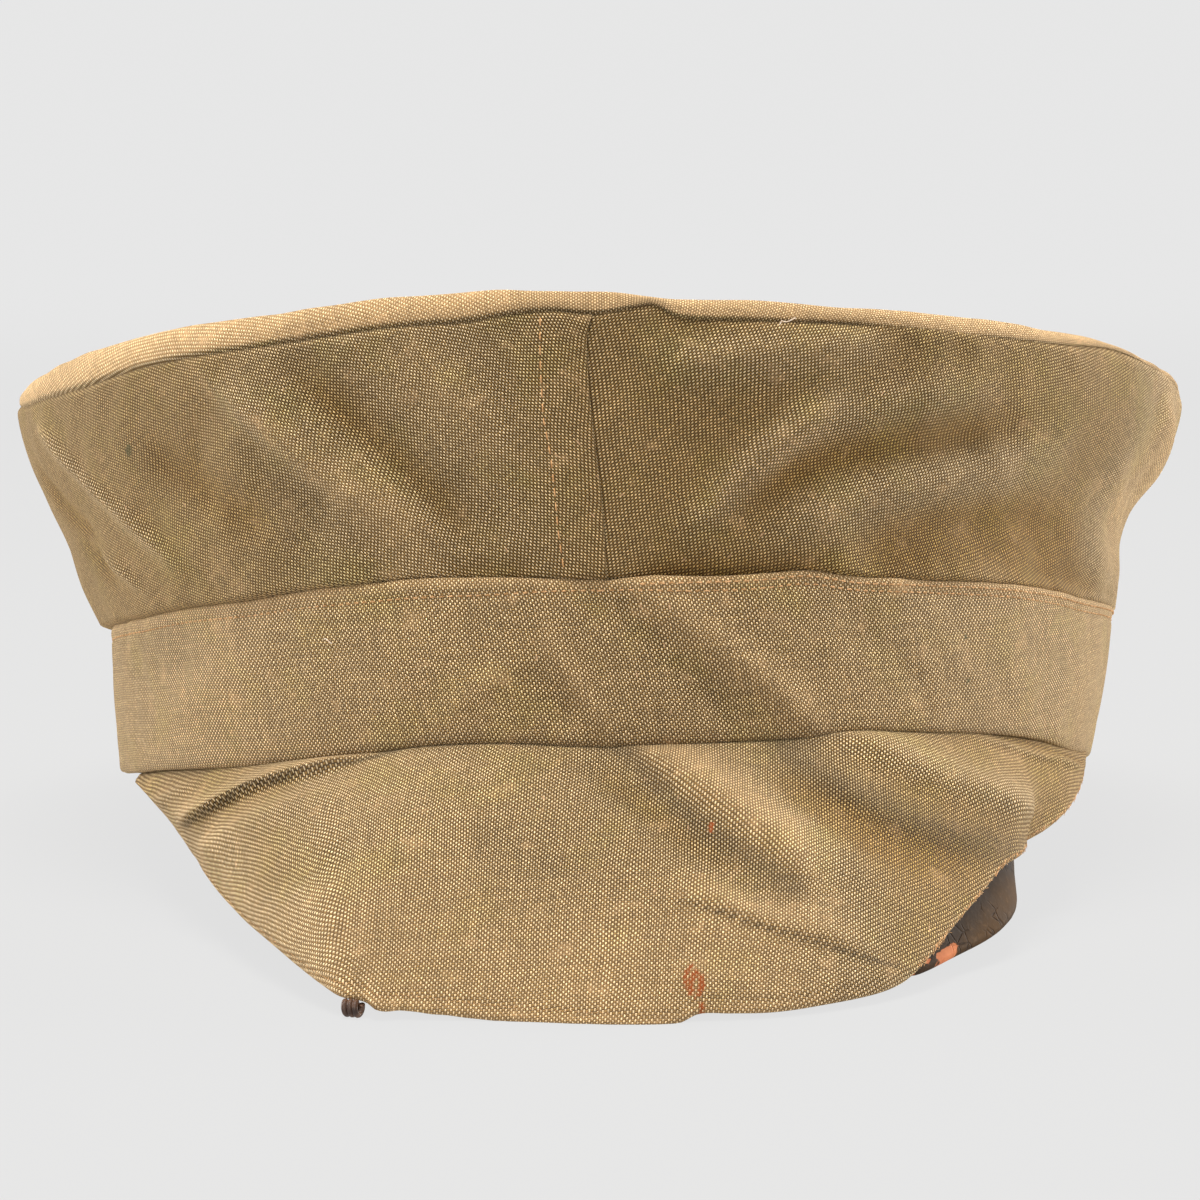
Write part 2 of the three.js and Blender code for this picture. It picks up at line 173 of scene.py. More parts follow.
# Front edge of the left side panel, where it laps over the right one
LAP_EDGE = table("t phi", (-0.2, -0.3), (0, -0.3), (0.3, -0.7), (0.6, -1.5), (0.9, -1.9), (1, -1.5))

# Size of one degree and of the whole share, in mm, where folds are drawn
CROWN_MM = (1.78, 40.0)
COVER_MM = (1.6, 50.0)
BAND_MM = (1.65, 24.0)


def fold(height, width, path, far_width=None, power=2.0):
    """One fold: a ridge, or a valley if its height is negative, along a path of places."""
    return {
        "height": height,
        "widths": (width, far_width or width),
        "path": np.array(path, float),
        "power": power,
    }


# Folds of the crown's sides, at an angle and a share of the height
CROWN_FOLDS = [
    fold(1.6, 1.7, [(-72, 0.97), (-66, 0.82), (-58.5, 0.56), (-51.5, 0.31), (-46, 0.1)], 2.2),
    fold(-1.8, 3.4, [(-80, 0.8), (-69, 0.45), (-60, 0.12)]),
    fold(1.1, 1.5, [(-74, 0.5), (-66, 0.36), (-59, 0.2), (-55, 0.05)]),
    fold(0.8, 1.8, [(-40, 1), (-36, 0.86), (-31.5, 0.66), (-26, 0.42), (-20, 0.2)]),
    fold(-1.8, 5, [(-30, 1), (-27, 0.87), (-23.5, 0.68), (-18.5, 0.44), (-14, 0.2), (-11, 0.03)], 2.4),
    fold(1.2, 3.6, [(-36, 0.95), (-29, 0.62), (-22, 0.34), (-15, 0.08)], 4.5),
    fold(-0.9, 4, [(-50, 0.75), (-40, 0.45), (-31, 0.18)]),
    fold(0.6, 3, [(-16, 0.9), (-11, 0.6), (-8, 0.3)]),
    fold(2, 3.5, [(1, 0.83), (9, 0.85), (18, 0.9), (27, 0.94)], 4),
    fold(1.6, 3, [(6, 0.12), (12, 0.36), (17, 0.58), (23, 0.82)], 3),
    fold(1.2, 4.5, [(9, 0.22), (13, 0.38), (18, 0.55), (27, 0.7), (40, 0.81)], 3),
    fold(-1.3, 3.4, [(8, 0.2), (13, 0.34), (22, 0.48), (33, 0.58), (46, 0.69)], 3.6),
    fold(2, 5, [(13, 0.06), (19, 0.22), (28, 0.36), (40, 0.47), (54, 0.57)], 4.6),
    fold(-2.3, 5, [(22, 0.08), (34, 0.2), (50, 0.25), (64, 0.16)], 5),
    fold(0.9, 3, [(58, 0.62), (66, 0.5), (76, 0.36)], 4),
    fold(-2, 3, [(42, 0.1), (56, 0.08), (70, 0.06), (90, 0.03)], 3.6, 1.6),
    fold(-1.6, 1.8, [(1, 0.05), (8, 0.03), (24, 0.02)], 2.4, 1.6),
    fold(-1, 1.8, [(-17, 0.04), (-11, 0.05), (-6, 0.03)], 2.4, 1.6),
    fold(1.6, 3, [(66, 0.92), (74, 0.75), (83, 0.46)], 4.5, 1.5),
    fold(1, 5, [(120, 0.9), (132, 0.5), (140, 0.1)]),
    fold(-1.1, 6, [(146, 0.95), (154, 0.5), (158, 0.15)]),
    fold(-1.1, 5, [(-112, 0.9), (-124, 0.5), (-132, 0.15)]),
    fold(1.2, 6, [(-142, 0.95), (-150, 0.55), (-156, 0.1)]),
]
# Sharp creases, darkened with painted shade: half width in mm, and places
CROWN_CREASES = [(0.3, [(2, 0.035), (8, 0.045), (14, 0.05), (19, 0.04)])]
COVER_CREASES = [
    (
        0.35,
        [(-22, 0.04), (-28, 0.09), (-34, 0.145), (-40, 0.22), (-43.7, 0.31), (-48.7, 0.46), (-53, 0.62)],
    ),
    (0.3, [(7, 0.66), (15, 0.772), (21.5, 0.852), (29, 0.95)]),
]
# Hollows of the cover, darkened with painted shade: half width in mm, and places
COVER_HOLLOWS = [
    (2, [(1, 0.03), (5, 0.2), (9, 0.375), (14, 0.52), (18.5, 0.65)]),
    (3.2, [(19, 0.07), (23, 0.24), (30, 0.4), (37, 0.56), (43, 0.7)]),
]
# Folds of the peak's cover, at an angle and a share of the way to the outline
COVER_FOLDS = [
    fold(
        2.3,
        5,
        [(-20, -0.03), (-30, 0.1), (-38, 0.18), (-44, 0.3), (-49, 0.45), (-54, 0.64), (-58, 0.8)],
        0.7,
        1.6,
    ),
    fold(1.2, 3.2, [(-27, 0.2), (-36, 0.33), (-43, 0.5), (-49, 0.72), (-53, 0.92)], 3.6),
    fold(0.9, 3, [(-50, 0.1), (-58, 0.4), (-63, 0.7)]),
    fold(-0.9, 3.6, [(-26, 0.46), (-32.5, 0.58), (-39, 0.75), (-43, 0.88)]),
    fold(-0.5, 4, [(-16, 0.42), (-8, 0.5), (0, 0.6)]),
    fold(-1.8, 3, [(-5, 0), (2, 0.24), (8.5, 0.45), (14.5, 0.64), (19, 0.78)], 3),
    fold(2.4, 2, [(-1, -0.05), (3, 0.05), (7, 0.17), (11.5, 0.31), (17, 0.49), (22.5, 0.7)], 6),
    fold(-2.4, 4, [(14, 0.03), (20, 0.28), (27, 0.47), (36, 0.65), (41, 0.74)], 3.2),
    fold(2.2, 3, [(19, -0.1), (26, 0.06), (32, 0.2), (39, 0.36), (46, 0.55), (53, 0.8)], 8, 1.8),
    fold(1, 1.8, [(40, 0.04), (50, 0.14), (58, 0.3), (68, 0.62)]),
    fold(-0.9, 1.8, [(44, 0.01), (54, 0.08), (64, 0.25), (72, 0.5)]),
    fold(1.2, 0.8, [(4, 0.62), (10, 0.67), (15, 0.755), (22, 0.835), (29, 0.94)], 4, 1.6),
    fold(-0.9, 1.4, [(4, 0.94), (9, 0.965), (16, 0.97)], 1.8, 1.6),
    fold(0.8, 2, [(6, 0.86), (9, 0.92), (11, 0.95)]),
]
# Folds of the band
BAND_FOLDS = [
    fold(1.1, 3.2, [(0, 1.15), (5.5, 0.88), (11.5, 0.56), (17, 0.3), (22, 0), (25, -0.15)], 2.5),
    fold(-0.9, 2.4, [(-3, 1.1), (1, 0.84), (6.5, 0.46), (12, 0.18), (15.5, -0.1)], 2.6),
    fold(1.1, 1.8, [(-7.5, 0.95), (-5.5, 0.62), (-3.5, 0.4), (-1, 0.15), (1, -0.1)], 1.5),
    fold(-0.7, 2, [(-9, 0.5), (-6, 0.28), (-3.5, 0.05)]),
    fold(0.4, 2.4, [(-18, 0.1), (-12, 0.36), (-8, 0.6)]),
    fold(-0.4, 3.5, [(22, 0.9), (30, 0.5), (38, 0.15)]),
    fold(0.4, 4, [(-60, 0.3), (-46, 0.5), (-34, 0.8)]),
    fold(-0.4, 3.5, [(-70, 0.7), (-56, 0.75), (-46, 0.6)]),
    fold(0.4, 5, [(58, 0.2), (66, 0.5), (74, 0.9)]),
]
# Broad dents of the top panel: height, direction, place across and width
TOP_FOLDS = [
    (1.8, 35, 21, 12),
    (-1.6, 150, 30, 14),
    (1.6, -110, 27, 12),
    (-1.6, -40, 36, 10),
]


def smooth(share):
    """Soft step from 0 to 1."""
    s = np.clip(share, 0.0, 1.0)
    return s * s * (3.0 - 2.0 * s)


def unit(vector):
    return vector / np.maximum(np.linalg.norm(vector, axis=-1, keepdims=True), 1e-9)


def track(rows, column, at):
    """Smooth run of one column of a table over its first column."""
    keys = rows[next(iter(rows))]
    values = rows[column]
    last = len(keys) - 1
    place = np.clip(at, keys[0], keys[-1])
    i = np.clip(np.searchsorted(keys, place, side="left") - 1, 0, last - 1)
    before = np.maximum(np.arange(last + 1) - 1, 0)
    after = np.minimum(np.arange(last + 1) + 1, last)
    slope = (values[after] - values[before]) / (keys[after] - keys[before])
    span = keys[i + 1] - keys[i]
    s = (place - keys[i]) / span
    run = values[i] + (values[i + 1] - values[i]) * s * s * (3 - 2 * s)
    return run + s * (1 - s) * span * ((1 - s) * slope[i] - s * slope[i + 1])


def height(rows, phi):
    """Height at an angle, which may run past the back."""
    wrapped = np.where(phi > 180, phi - 360, np.where(phi < -180, phi + 360, phi))
    return track(rows, "z", wrapped)


def soft_noise(u, v, size, seed):
    """Smooth random field between -1 and 1, with features of about size."""
    count = 97
    grid = np.random.default_rng(seed).uniform(-1, 1, (count, count))
    x, y = np.broadcast_arrays(np.asarray(u) / size, np.asarray(v) / size)
    i = np.floor(x).astype(int)
    j = np.floor(y).astype(int)
    a = smooth(x - i)
    b = smooth(y - j)
    near = grid[i % count, j % count] * (1 - a) + grid[(i + 1) % count, j % count] * a
    far = grid[i % count, (j + 1) % count] * (1 - a) + grid[(i + 1) % count, (j + 1) % count] * a
    return near + (far - near) * b


def creases(u, v, turn, size, seed):
    """Narrow ridges and hollows that run one way, turned from upright, between -1 and 1."""
    turn = math.radians(turn)
    across = u * math.cos(turn) + v * math.sin(turn)
    along = v * math.cos(turn) - u * math.sin(turn)
    broad = soft_noise(across + 400, along / 3.0 + 400, size, seed)
    fine = soft_noise(across + 400, along / 2.2 + 400, size * 0.45, seed + 1)
    return broad + 0.45 * fine


def nearest(path, x, y):
    """Distance to a path, the way gone along it, its length, and the side of it."""
    steps = np.diff(path, axis=0)
    lengths = np.hypot(*steps.T)
    starts = np.concatenate([[0], np.cumsum(lengths)])
    near = np.full(x.shape, 1e9)
    where = np.zeros(x.shape)
    side = np.zeros(x.shape)
    for (px, py), (dx, dy), length, start in zip(path, steps, lengths, starts):
        s = np.clip(((x - px) * dx + (y - py) * dy) / length**2, 0, 1)
        ax = x - px - s * dx
        ay = y - py - s * dy
        far = np.hypot(ax, ay)
        closer = far < near
        near = np.where(closer, far, near)
        where = np.where(closer, start + s * length, where)
        side = np.where(closer, dx * ay - dy * ax, side)
    return near, where, starts[-1], side


def relief(folds, phi, share, scale):
    """Sum of the folds at each place."""
    x, y = np.broadcast_arrays(phi * scale[0], share * scale[1])
    total = np.zeros(x.shape)
    for row in folds:
        near, where, length, side = nearest(row["path"] * scale, x, y)
        ends = np.minimum(where, length - where) / (0.3 * length)
        width = np.where(side > 0, row["widths"][0], row["widths"][1])
        total += row["height"] * smooth(ends) * np.exp(-((near / width) ** row["power"]))
    return total


def ring(sizes, phi, z, inset):
    """Point of a ring round the head, level, moved in by inset."""
    sin = np.sin(np.radians(phi))
    cos = np.cos(np.radians(phi))
    across = np.where(sin < 0, track(sizes, "left", z), track(sizes, "right", z)) - inset
    along = np.where(cos > 0, track(sizes, "front", z), track(sizes, "back", z)) - inset
    return np.stack(np.broadcast_arrays(across * sin, -along * cos, z), -1)


def lay(point):
    """Lays level points down as the cap rests."""
    x, y, z = np.moveaxis(point, -1, 0)
    back = y * math.cos(LEAN) + z * math.sin(LEAN)
    up = z * math.cos(LEAN) + (BAND_BACK - y) * math.sin(LEAN)
    return np.stack([x, back, up], -1)


def settle(point):
    """Moves resting points over the origin, and flattens what would lie under the surface."""
    moved = point + CENTRE_SHIFT
    moved[..., 2] = np.maximum(moved[..., 2], 0.0)
    return moved


# Faces of the cap: each gives the points of one face of the cloth, at an angle and a share


def seam_pucker(phi, distance, seed):
    """Short ripples that a line of sewing leaves in the cloth beside it."""
    along = phi * CROWN_MM[0]
    ripple = soft_noise(along, 0, size=3.4, seed=seed) + soft_noise(along, 9.5, size=8.0, seed=seed)
    height_mm, fade = 0.16, 4.0
    return height_mm * ripple * np.exp(-distance / fade)


def crown_face(phi, t, lift, depth):
    """Crown's side: share 0 at the band's upper edge, 1 at the seam under the top."""
    foot = height(TOP, phi)
    seam = track(SEAM_OPEN, "open", np.clip(phi, -180, 180))
    head = height(SEAM, phi) - GAP / 2 * seam
    z = foot + (head - foot) * t
    u = phi * CROWN_MM[0]
    v = t * CROWN_MM[1]
    below_seam = CROWN_MM[1] - v
    out = relief(CROWN_FOLDS, phi, t, CROWN_MM) + lift
    left = smooth((2.0 - phi) / 4.0)
    drape = left * creases(u, v, turn=-38, size=8.0, seed=3)
    drape = drape + (1 - left) * creases(u, v, turn=40, size=8.0, seed=7)
    out = out + 0.3 * soft_noise(u, v, size=19.0, seed=4) + 0.38 * drape
    out = out + seam_pucker(phi, below_seam, 5) + seam_pucker(phi, np.maximum(v, 0), 6)
    out = out * smooth(below_seam / 2.5 + 0.35)
    groove = SEAM_GROOVE * seam * np.exp(-((below_seam / 0.35) ** 2))
    free = ring(CROWN_SIZES, phi, z, groove + depth - out)
    tucked = ring(BAND_SIZES, phi, z, BAND_CLOTH + GAP + LAP_RAISE - lift + depth)
    emerged = smooth(t / EMERGE)[..., None]
    return settle(lay(tucked + (free - tucked) * emerged))


def rim_crest(phi):
    return height(RIM, phi) + 0.18 * soft_noise(phi * CROWN_MM[0], 0, size=6.0, seed=13)


def rim_face(phi, h, depth=0.0):
    """Edge of the top panel, which turns down to the seam: share 0 at the seam, 1 at the crest."""
    foot = height(SEAM, phi) + GAP / 2 * track(SEAM_OPEN, "open", phi)
    crest = rim_crest(phi)
    u = phi * CROWN_MM[0]
    bulge = 0.22 * soft_noise(u, 0, size=5.0, seed=11) + 0.2 * soft_noise(u, 0, size=14.0, seed=12)
    inset = track(RIM_PROFILE, "inset", h) - bulge * np.sin(np.pi * np.clip(h, 0, 1))
    z = foot + (crest - depth - foot) * h
    return settle(lay(ring(CROWN_SIZES, phi, z, np.maximum(inset, depth * 0.6) + depth)))


def top_face(phi, share, depth):
    """Flat of the top panel: share 1 at the rim, 0 at the middle."""
    crest = rim_crest(phi)
    middle = RIM["z"][-1]
    flat = ring(CROWN_SIZES, phi, crest, RIM_TURN) * share[..., None]
    x = flat[..., 0] + 200
    y = flat[..., 1] + 200
    dents = 1.3 * soft_noise(x, y, size=38.0, seed=21) + 0.5 * soft_noise(x, y, size=15.0, seed=22)
    dents = dents + 0.4 * creases(x, y, turn=60, size=14.0, seed=23)
    for rise, angle, place, width in TOP_FOLDS:
        turn = math.radians(angle)
        across = flat[..., 0] * math.cos(turn) + flat[..., 1] * math.sin(turn) - place
        along = flat[..., 1] * math.cos(turn) - flat[..., 0] * math.sin(turn)
        dents = dents + rise * np.exp(-((across / width) ** 2) - (along / 60) ** 2)
    sag = middle + (crest - middle) * share**TOP_FALL - TOP_SAG * (1 - share**2)
    flat[..., 2] = sag + dents * (1 - share**6) - depth
    return settle(lay(flat))


def band_face(phi, share, depth=0.0):
    """Band: share 0 at its lower edge, 1 at its upper edge."""
    low = height(LOW, phi)
    top = height(TOP, phi)
    z = low + (top - low) * share
    u = phi * BAND_MM[0]
    v = share * BAND_MM[1]
    out = relief(BAND_FOLDS, phi, share, BAND_MM) + 0.2 * np.sin(np.pi * share)
    out = out + 0.14 * soft_noise(u, v, size=15.0, seed=31)
    out = out + 0.24 * creases(u, v, turn=40, size=7.0, seed=34)
    out = np.maximum(out, -0.9)
    from_stitch = (top - z) - height(STITCH_DROP, phi)
    out = out - STITCH_GROOVE * np.exp(-((from_stitch / 0.45) ** 2))
    out = out + 0.2 * soft_noise(u, 0, size=3.2, seed=33) * np.exp(-np.abs(from_stitch) / 2.5)
    return settle(lay(ring(BAND_SIZES, phi, z, depth - out * (depth == 0))))


def peak_line(phi, v):
    """Point of the flat peak between its root and its outline."""
    inset = BAND_CLOTH + CLOTH + 2 * GAP
    root = lay(ring(BAND_SIZES, phi, height(LOW, phi) - ROOT_DROP, inset))
    end = np.stack([track(PEAK_EDGE, axis, phi) for axis in "xyz"], -1)
    return root + (end - root) * v[..., None]


def peak_face(phi, v, above):
    """Point over the peak's face: v 0 at the root, 1 at the outline."""
    across = peak_line(phi + 1.0, v) - peak_line(phi - 1.0, v)
    along = peak_line(phi, v + 0.05) - peak_line(phi, v - 0.05)
    out = -unit(np.cross(across, along))
    crown = PEAK_CROWN * np.sin(np.pi * np.clip(v, 0, 1)) * np.cos(np.radians(phi))
    return peak_line(phi, v) + out * (crown + above)[..., None]


def flange(phi, rise, inset):
    """Root of the peak or its cover, turned up inside the band."""
    return settle(lay(ring(BAND_SIZES, phi, height(LOW, phi) + rise, inset)))


def cover_face(phi, share, depth=0.0):
    """Peak's cloth cover: share 0 at the root, 1 at its own edge."""
    reach = track(COVER_REACH, "v", phi)
    v = share * reach
    u_mm = phi * COVER_MM[0]
    v_mm = v * COVER_MM[1]
    wrinkles = 0.3 * soft_noise(u_mm, v_mm, size=14.0, seed=41)
    wrinkles = wrinkles + 0.24 * creases(u_mm, v_mm, turn=-50, size=7.0, seed=44)
    folds = relief(COVER_FOLDS, phi, v, COVER_MM) + wrinkles
    faded = np.where(folds > 0, 0.75, 0.2)
    held = smooth(share / 0.1) * (1 - faded * smooth((share - 0.75) / 0.25))
    loose = COVER_PUFF * np.sin(np.pi * np.clip(share, 0, 1)) + folds * held
    slack = 0.8
    loose = slack * np.logaddexp(0, loose / slack)
    from_edge = (1 - share) * reach * COVER_MM[1]
    hugging = smooth((33 - phi) / 3) * smooth((phi + 44) / 6)
    loose = loose - HEM_DROP * hugging * smooth(1 - from_edge / 1.5)
    hemmed = smooth((phi - HEM_SPAN[0]) / 4) * smooth((HEM_SPAN[1] - phi) / 4)
    loose = loose - 0.3 * hemmed * np.exp(-(((from_edge - HEM) / 0.35) ** 2))
    loose = loose + 0.12 * hemmed * soft_noise(u_mm, 0, size=3.0, seed=43) * np.exp(-from_edge / 3.0)
    return settle(peak_face(phi, v, GAP + loose + CLOTH - depth))


def leather_face(phi, share, depth):
    """Leather peak: share 0 at the root, 1 at its own edge."""
    v = share * track(LEATHER_REACH, "v", phi)
    waves = 0.25 * soft_noise(phi * COVER_MM[0], v * COVER_MM[1], size=12.0, seed=51)
    return settle(peak_face(phi, v, waves * smooth(share / 0.2) - depth))


# Flat cloth: where each point of a curved piece lies once it is spread out


def spread(foot, head):
    """Lays a strip of cloth out flat, from the points along its two edges."""
    low = [np.zeros(2)]
    high = [np.array([0.0, np.linalg.norm(head[0] - foot[0])])]

    def third(a, b, to_a, to_b):
        """Point to the right of a to b, at two known distances."""
        base = np.linalg.norm(b - a)
        along = (to_a**2 - to_b**2 + base**2) / (2 * base)
        aside = math.sqrt(max(to_a**2 - along**2, 0))
        way = (b - a) / base
        return a + way * along + np.array([way[1], -way[0]]) * aside

    for i in range(1, len(foot)):
        to_low = np.linalg.norm(foot[i] - foot[i - 1])
        to_high = np.linalg.norm(foot[i] - head[i - 1])
        low.append(third(low[-1], high[-1], to_low, to_high))
        to_high = np.linalg.norm(head[i] - head[i - 1])
        to_low = np.linalg.norm(head[i] - foot[i])
        high.append(third(low[-1], high[-1], to_low, to_high))
    return np.array(low), np.array(high)


def strip_weave(foot, head, columns, shares):
    """Places in the flat cloth of a strip round the head, its grain upright at the front."""
    low, high = spread(foot, head)
    upright = int(np.argmin(np.abs(columns)))
    way = unit(high[upright] - low[upright])
    turn = np.array([[way[1], way[0]], [-way[0], way[1]]])
    low, high = (low - low[upright]) @ turn, (high - low[upright]) @ turn
    return low[:, None] + (high - low)[:, None] * shares[..., None]


def grained(places, warp, weft):
    """Places counted across the warp and the weft, whose directions are angles in the cloth."""
    axes = np.radians([warp, weft])
    return places @ np.stack([np.cos(axes), np.sin(axes)])


# Meshes


def rounded(outer, inner, weave, axis):
    """Adds half-round edges to a sheet's two faces, at both ends of one axis."""
    turns = np.radians([30.0, 60.0, 90.0])
    outer, inner, weave = (np.moveaxis(a, axis, 0) for a in (outer, inner, weave))
    rows = {}
    for at, beside in ((0, 1), (-1, -2)):
        middle = (outer[at] + inner[at]) / 2
        half = (outer[at] - inner[at]) / 2
        reach = np.linalg.norm(half, axis=-1, keepdims=True)
        tangent = unit(middle - (outer[beside] + inner[beside]) / 2)
        drift = unit(weave[at] - weave[beside])
        rows[at] = (
            [middle + half * math.cos(a) + tangent * reach * math.sin(a) for a in turns],
            [middle - half * math.cos(a) + tangent * reach * math.sin(a) for a in turns],
            [weave[at] + drift * reach * a for a in turns],
        )
    joined = []
    for k, body in enumerate((outer, inner, weave)):
        whole = np.concatenate([rows[0][k][::-1], body, rows[-1][k]])
        joined.append(np.moveaxis(whole, 0, axis))
    return joined


def new_object(name, points, corners, sizes, weave=None):
    """Object from points in mm, the corners of its faces one after another, and face sizes."""
    mesh = bpy.data.meshes.new(name)
    mesh.vertices.add(len(points))
    mesh.vertices.foreach_set("co", (points * MM).astype(np.float32).ravel())
    mesh.loops.add(len(corners))
    mesh.loops.foreach_set("vertex_index", corners.astype(np.int32))
    mesh.polygons.add(len(sizes))
    starts = np.concatenate([[0], np.cumsum(sizes)[:-1]])
    mesh.polygons.foreach_set("loop_start", starts.astype(np.int32))
    mesh.update(calc_edges=True)
    if weave is not None:
        mesh.uv_layers.new(name="weave").data.foreach_set("uv", weave.astype(np.float32).ravel())
    mesh.shade_smooth()
    piece = bpy.data.objects.new(name, mesh)
    bpy.context.scene.collection.objects.link(piece)
    return piece


def sheet_object(name, outer, inner, weave, marks, closed=False):
    """Closed piece between two faces: grids of points in mm, [round the head, up].

    A closed piece runs all the way round, and its last column repeats its first. weave holds the
    places in the flat cloth, and marks are values at the points that the material reads.
    """
    outer, inner, weave = rounded(outer, inner, weave, 1)
    if not closed:
        outer, inner, weave = rounded(outer, inner, weave, 0)
    for face in (outer, inner):
        face[..., 2] = np.maximum(face[..., 2], 0.0)
    count, rows = outer.shape[:2]
    upper = np.arange(count * rows).reshape(count, rows)
    if closed:
        upper[-1] = upper[0]
    lower = upper + count * rows
    lower[:, [0, -1]] = upper[:, [0, -1]]
    if not closed:
        lower[[0, -1]] = upper[[0, -1]]

    def quads(grid):
        return np.stack([grid[:-1, :-1], grid[1:, :-1], grid[1:, 1:], grid[:-1, 1:]], 2)

    cloth = quads(weave).reshape(-1, 4, 2)
    corners = np.concatenate([quads(upper).reshape(-1, 4), quads(lower).reshape(-1, 4)[:, ::-1]])
    places = np.concatenate([cloth, cloth[:, ::-1]])
    points = np.concatenate([outer.reshape(-1, 3), inner.reshape(-1, 3)])
    a, b, c, d = (points[corners[:, k]] for k in range(4))
    if np.sum(a * np.cross(b, c)) + np.sum(a * np.cross(c, d)) < 0:
        corners, places = corners[:, ::-1], places[:, ::-1]
    used, index = np.unique(corners, return_inverse=True)
    sizes = np.full(len(corners), 4)
    piece = new_object(name, points[used], index.ravel(), sizes, places.reshape(-1, 2))
    pads = [(0, 0) if closed else (3, 3), (3, 3)]
    for mark, values in marks.items():
        padded = np.pad(values, pads, "edge").ravel()
        layer = piece.data.attributes.new(mark, "FLOAT", "POINT")
        layer.data.foreach_set("value", np.concatenate([padded, padded])[used].astype(np.float32))
    return piece


def tubes(name, paths, radii, sides=6):
    """Object of round threads: paths are lists of points in mm, radii give each point's radius."""
    points = []
    corners = []
    sizes = []
    turn = np.radians(np.arange(sides) * 360 / sides)
    for path, radius in zip(paths, radii):
        path = np.array(path, float)
        start = len(points)
        way = unit(np.gradient(path, axis=0))
        side = unit(np.cross(way[0], [0.3, 0.2, 1.0]))
        for p, w, r in zip(path, way, np.broadcast_to(radius, len(path))):
            side = unit(side - w * np.dot(side, w))
            up = np.cross(w, side)
            points += [p + (side * math.cos(a) + up * math.sin(a)) * r for a in turn]
        for i in range(len(path) - 1):
            for k in range(sides):
                a, b = start + i * sides + k, start + i * sides + (k + 1) % sides
                corners += [a, b, b + sides, a + sides]
                sizes.append(4)
        corners += list(range(start + sides - 1, start - 1, -1))
        corners += list(range(len(points) - sides, len(points)))
        sizes += [sides, sides]
    return new_object(name, np.array(points), np.array(corners), np.array(sizes))


# Materials


class Graph:
    """Short way to write the nodes of one material."""

    def __init__(self, name):
        self.material = bpy.data.materials.new(name)
        self.material.use_nodes = True
        self.tree = self.material.node_tree
        self.tree.nodes.clear()

    def add(self, kind, inputs=None, **settings):
        node = self.tree.nodes.new("ShaderNode" + kind)
        for key, value in settings.items():
            setattr(node, key, value)
        for key, value in (inputs or {}).items():
            socket = node.inputs[key]
            if isinstance(value, bpy.types.NodeSocket):
                self.tree.links.new(value, socket)
            else:
                socket.default_value = value
        return node

    def math(self, operation, a, b=0.0, c=0.0):
        node = self.add("Math", {0: a, 1: b, 2: c}, operation=operation)
        return node.outputs[0]

    def times(self, a, b):
        return self.math("MULTIPLY", a, b)

    def plus(self, a, b):
        return self.math("ADD", a, b)

    def steps(self, value, low, high, to_low=0.0, to_high=1.0):
        """Soft step of a value between two levels."""
        inputs = {0: value, 1: low, 2: high, 3: to_low, 4: to_high}
        return self.add("MapRange", inputs, interpolation_type="SMOOTHSTEP").outputs[0]

    def mix(self, share, a, b, blend="MIX"):
        """Mix of two colours."""
        inputs = {0: share, 6: a, 7: b}
        node = self.add("Mix", inputs, data_type="RGBA", blend_type=blend)
        return node.outputs[2]

    def mark(self, name):
        return self.add("Attribute", attribute_name=name).outputs["Fac"]

    def place(self, x, y, z=0.0):
        return self.add("CombineXYZ", {0: x, 1: y, 2: z}).outputs[0]

    def noise(self, place, scale, detail=2.0, rough=0.5):
        """Noise between 0 and 1, with features of about 1 / scale."""
        inputs = {"Vector": place, "Scale": scale, "Detail": detail, "Roughness": rough}
        return self.add("TexNoise", inputs).outputs["Fac"]

    def bump(self, value, distance, strength=1.0):
        inputs = {"Height": value, "Distance": distance, "Strength": strength}
        return self.add("Bump", inputs).outputs[0]

    def split(self, value):
        """Parts of a vector or a colour."""
        return self.add("SeparateXYZ", {0: value}).outputs

    def finish(self, colour, rough, specular, more):
        """Ends the material with its shader."""
        inputs = {"Base Color": colour, "Roughness": rough, "Specular IOR Level": specular, **more}
        shader = self.add("BsdfPrincipled", inputs)
        self.add("OutputMaterial", {0: shader.outputs[0]})
        return self.material


def srgb(r, g, b):
    """Colour from 8-bit values as they show on a screen."""
    parts = [c / 255 for c in (r, g, b)]
    return tuple(p / 12.92 if p <= 0.04045 else ((p + 0.055) / 1.055) ** 2.4 for p in parts) + (1.0,)


WHITE = srgb(255, 255, 255)
THREAD = 0.395
# What the cloth's colour is mixed with or multiplied by
GREEN_CAST = srgb(220, 232, 166)
# Painted shade: the deeper colour that the cloth is multiplied by where it is painted as shaded
SHADE_CAST = srgb(255, 230, 174)
ROSY = srgb(206, 166, 120)
SLUB = srgb(236, 190, 148)
RUST = srgb(150, 71, 24)
SPECK = srgb(66, 66, 38)


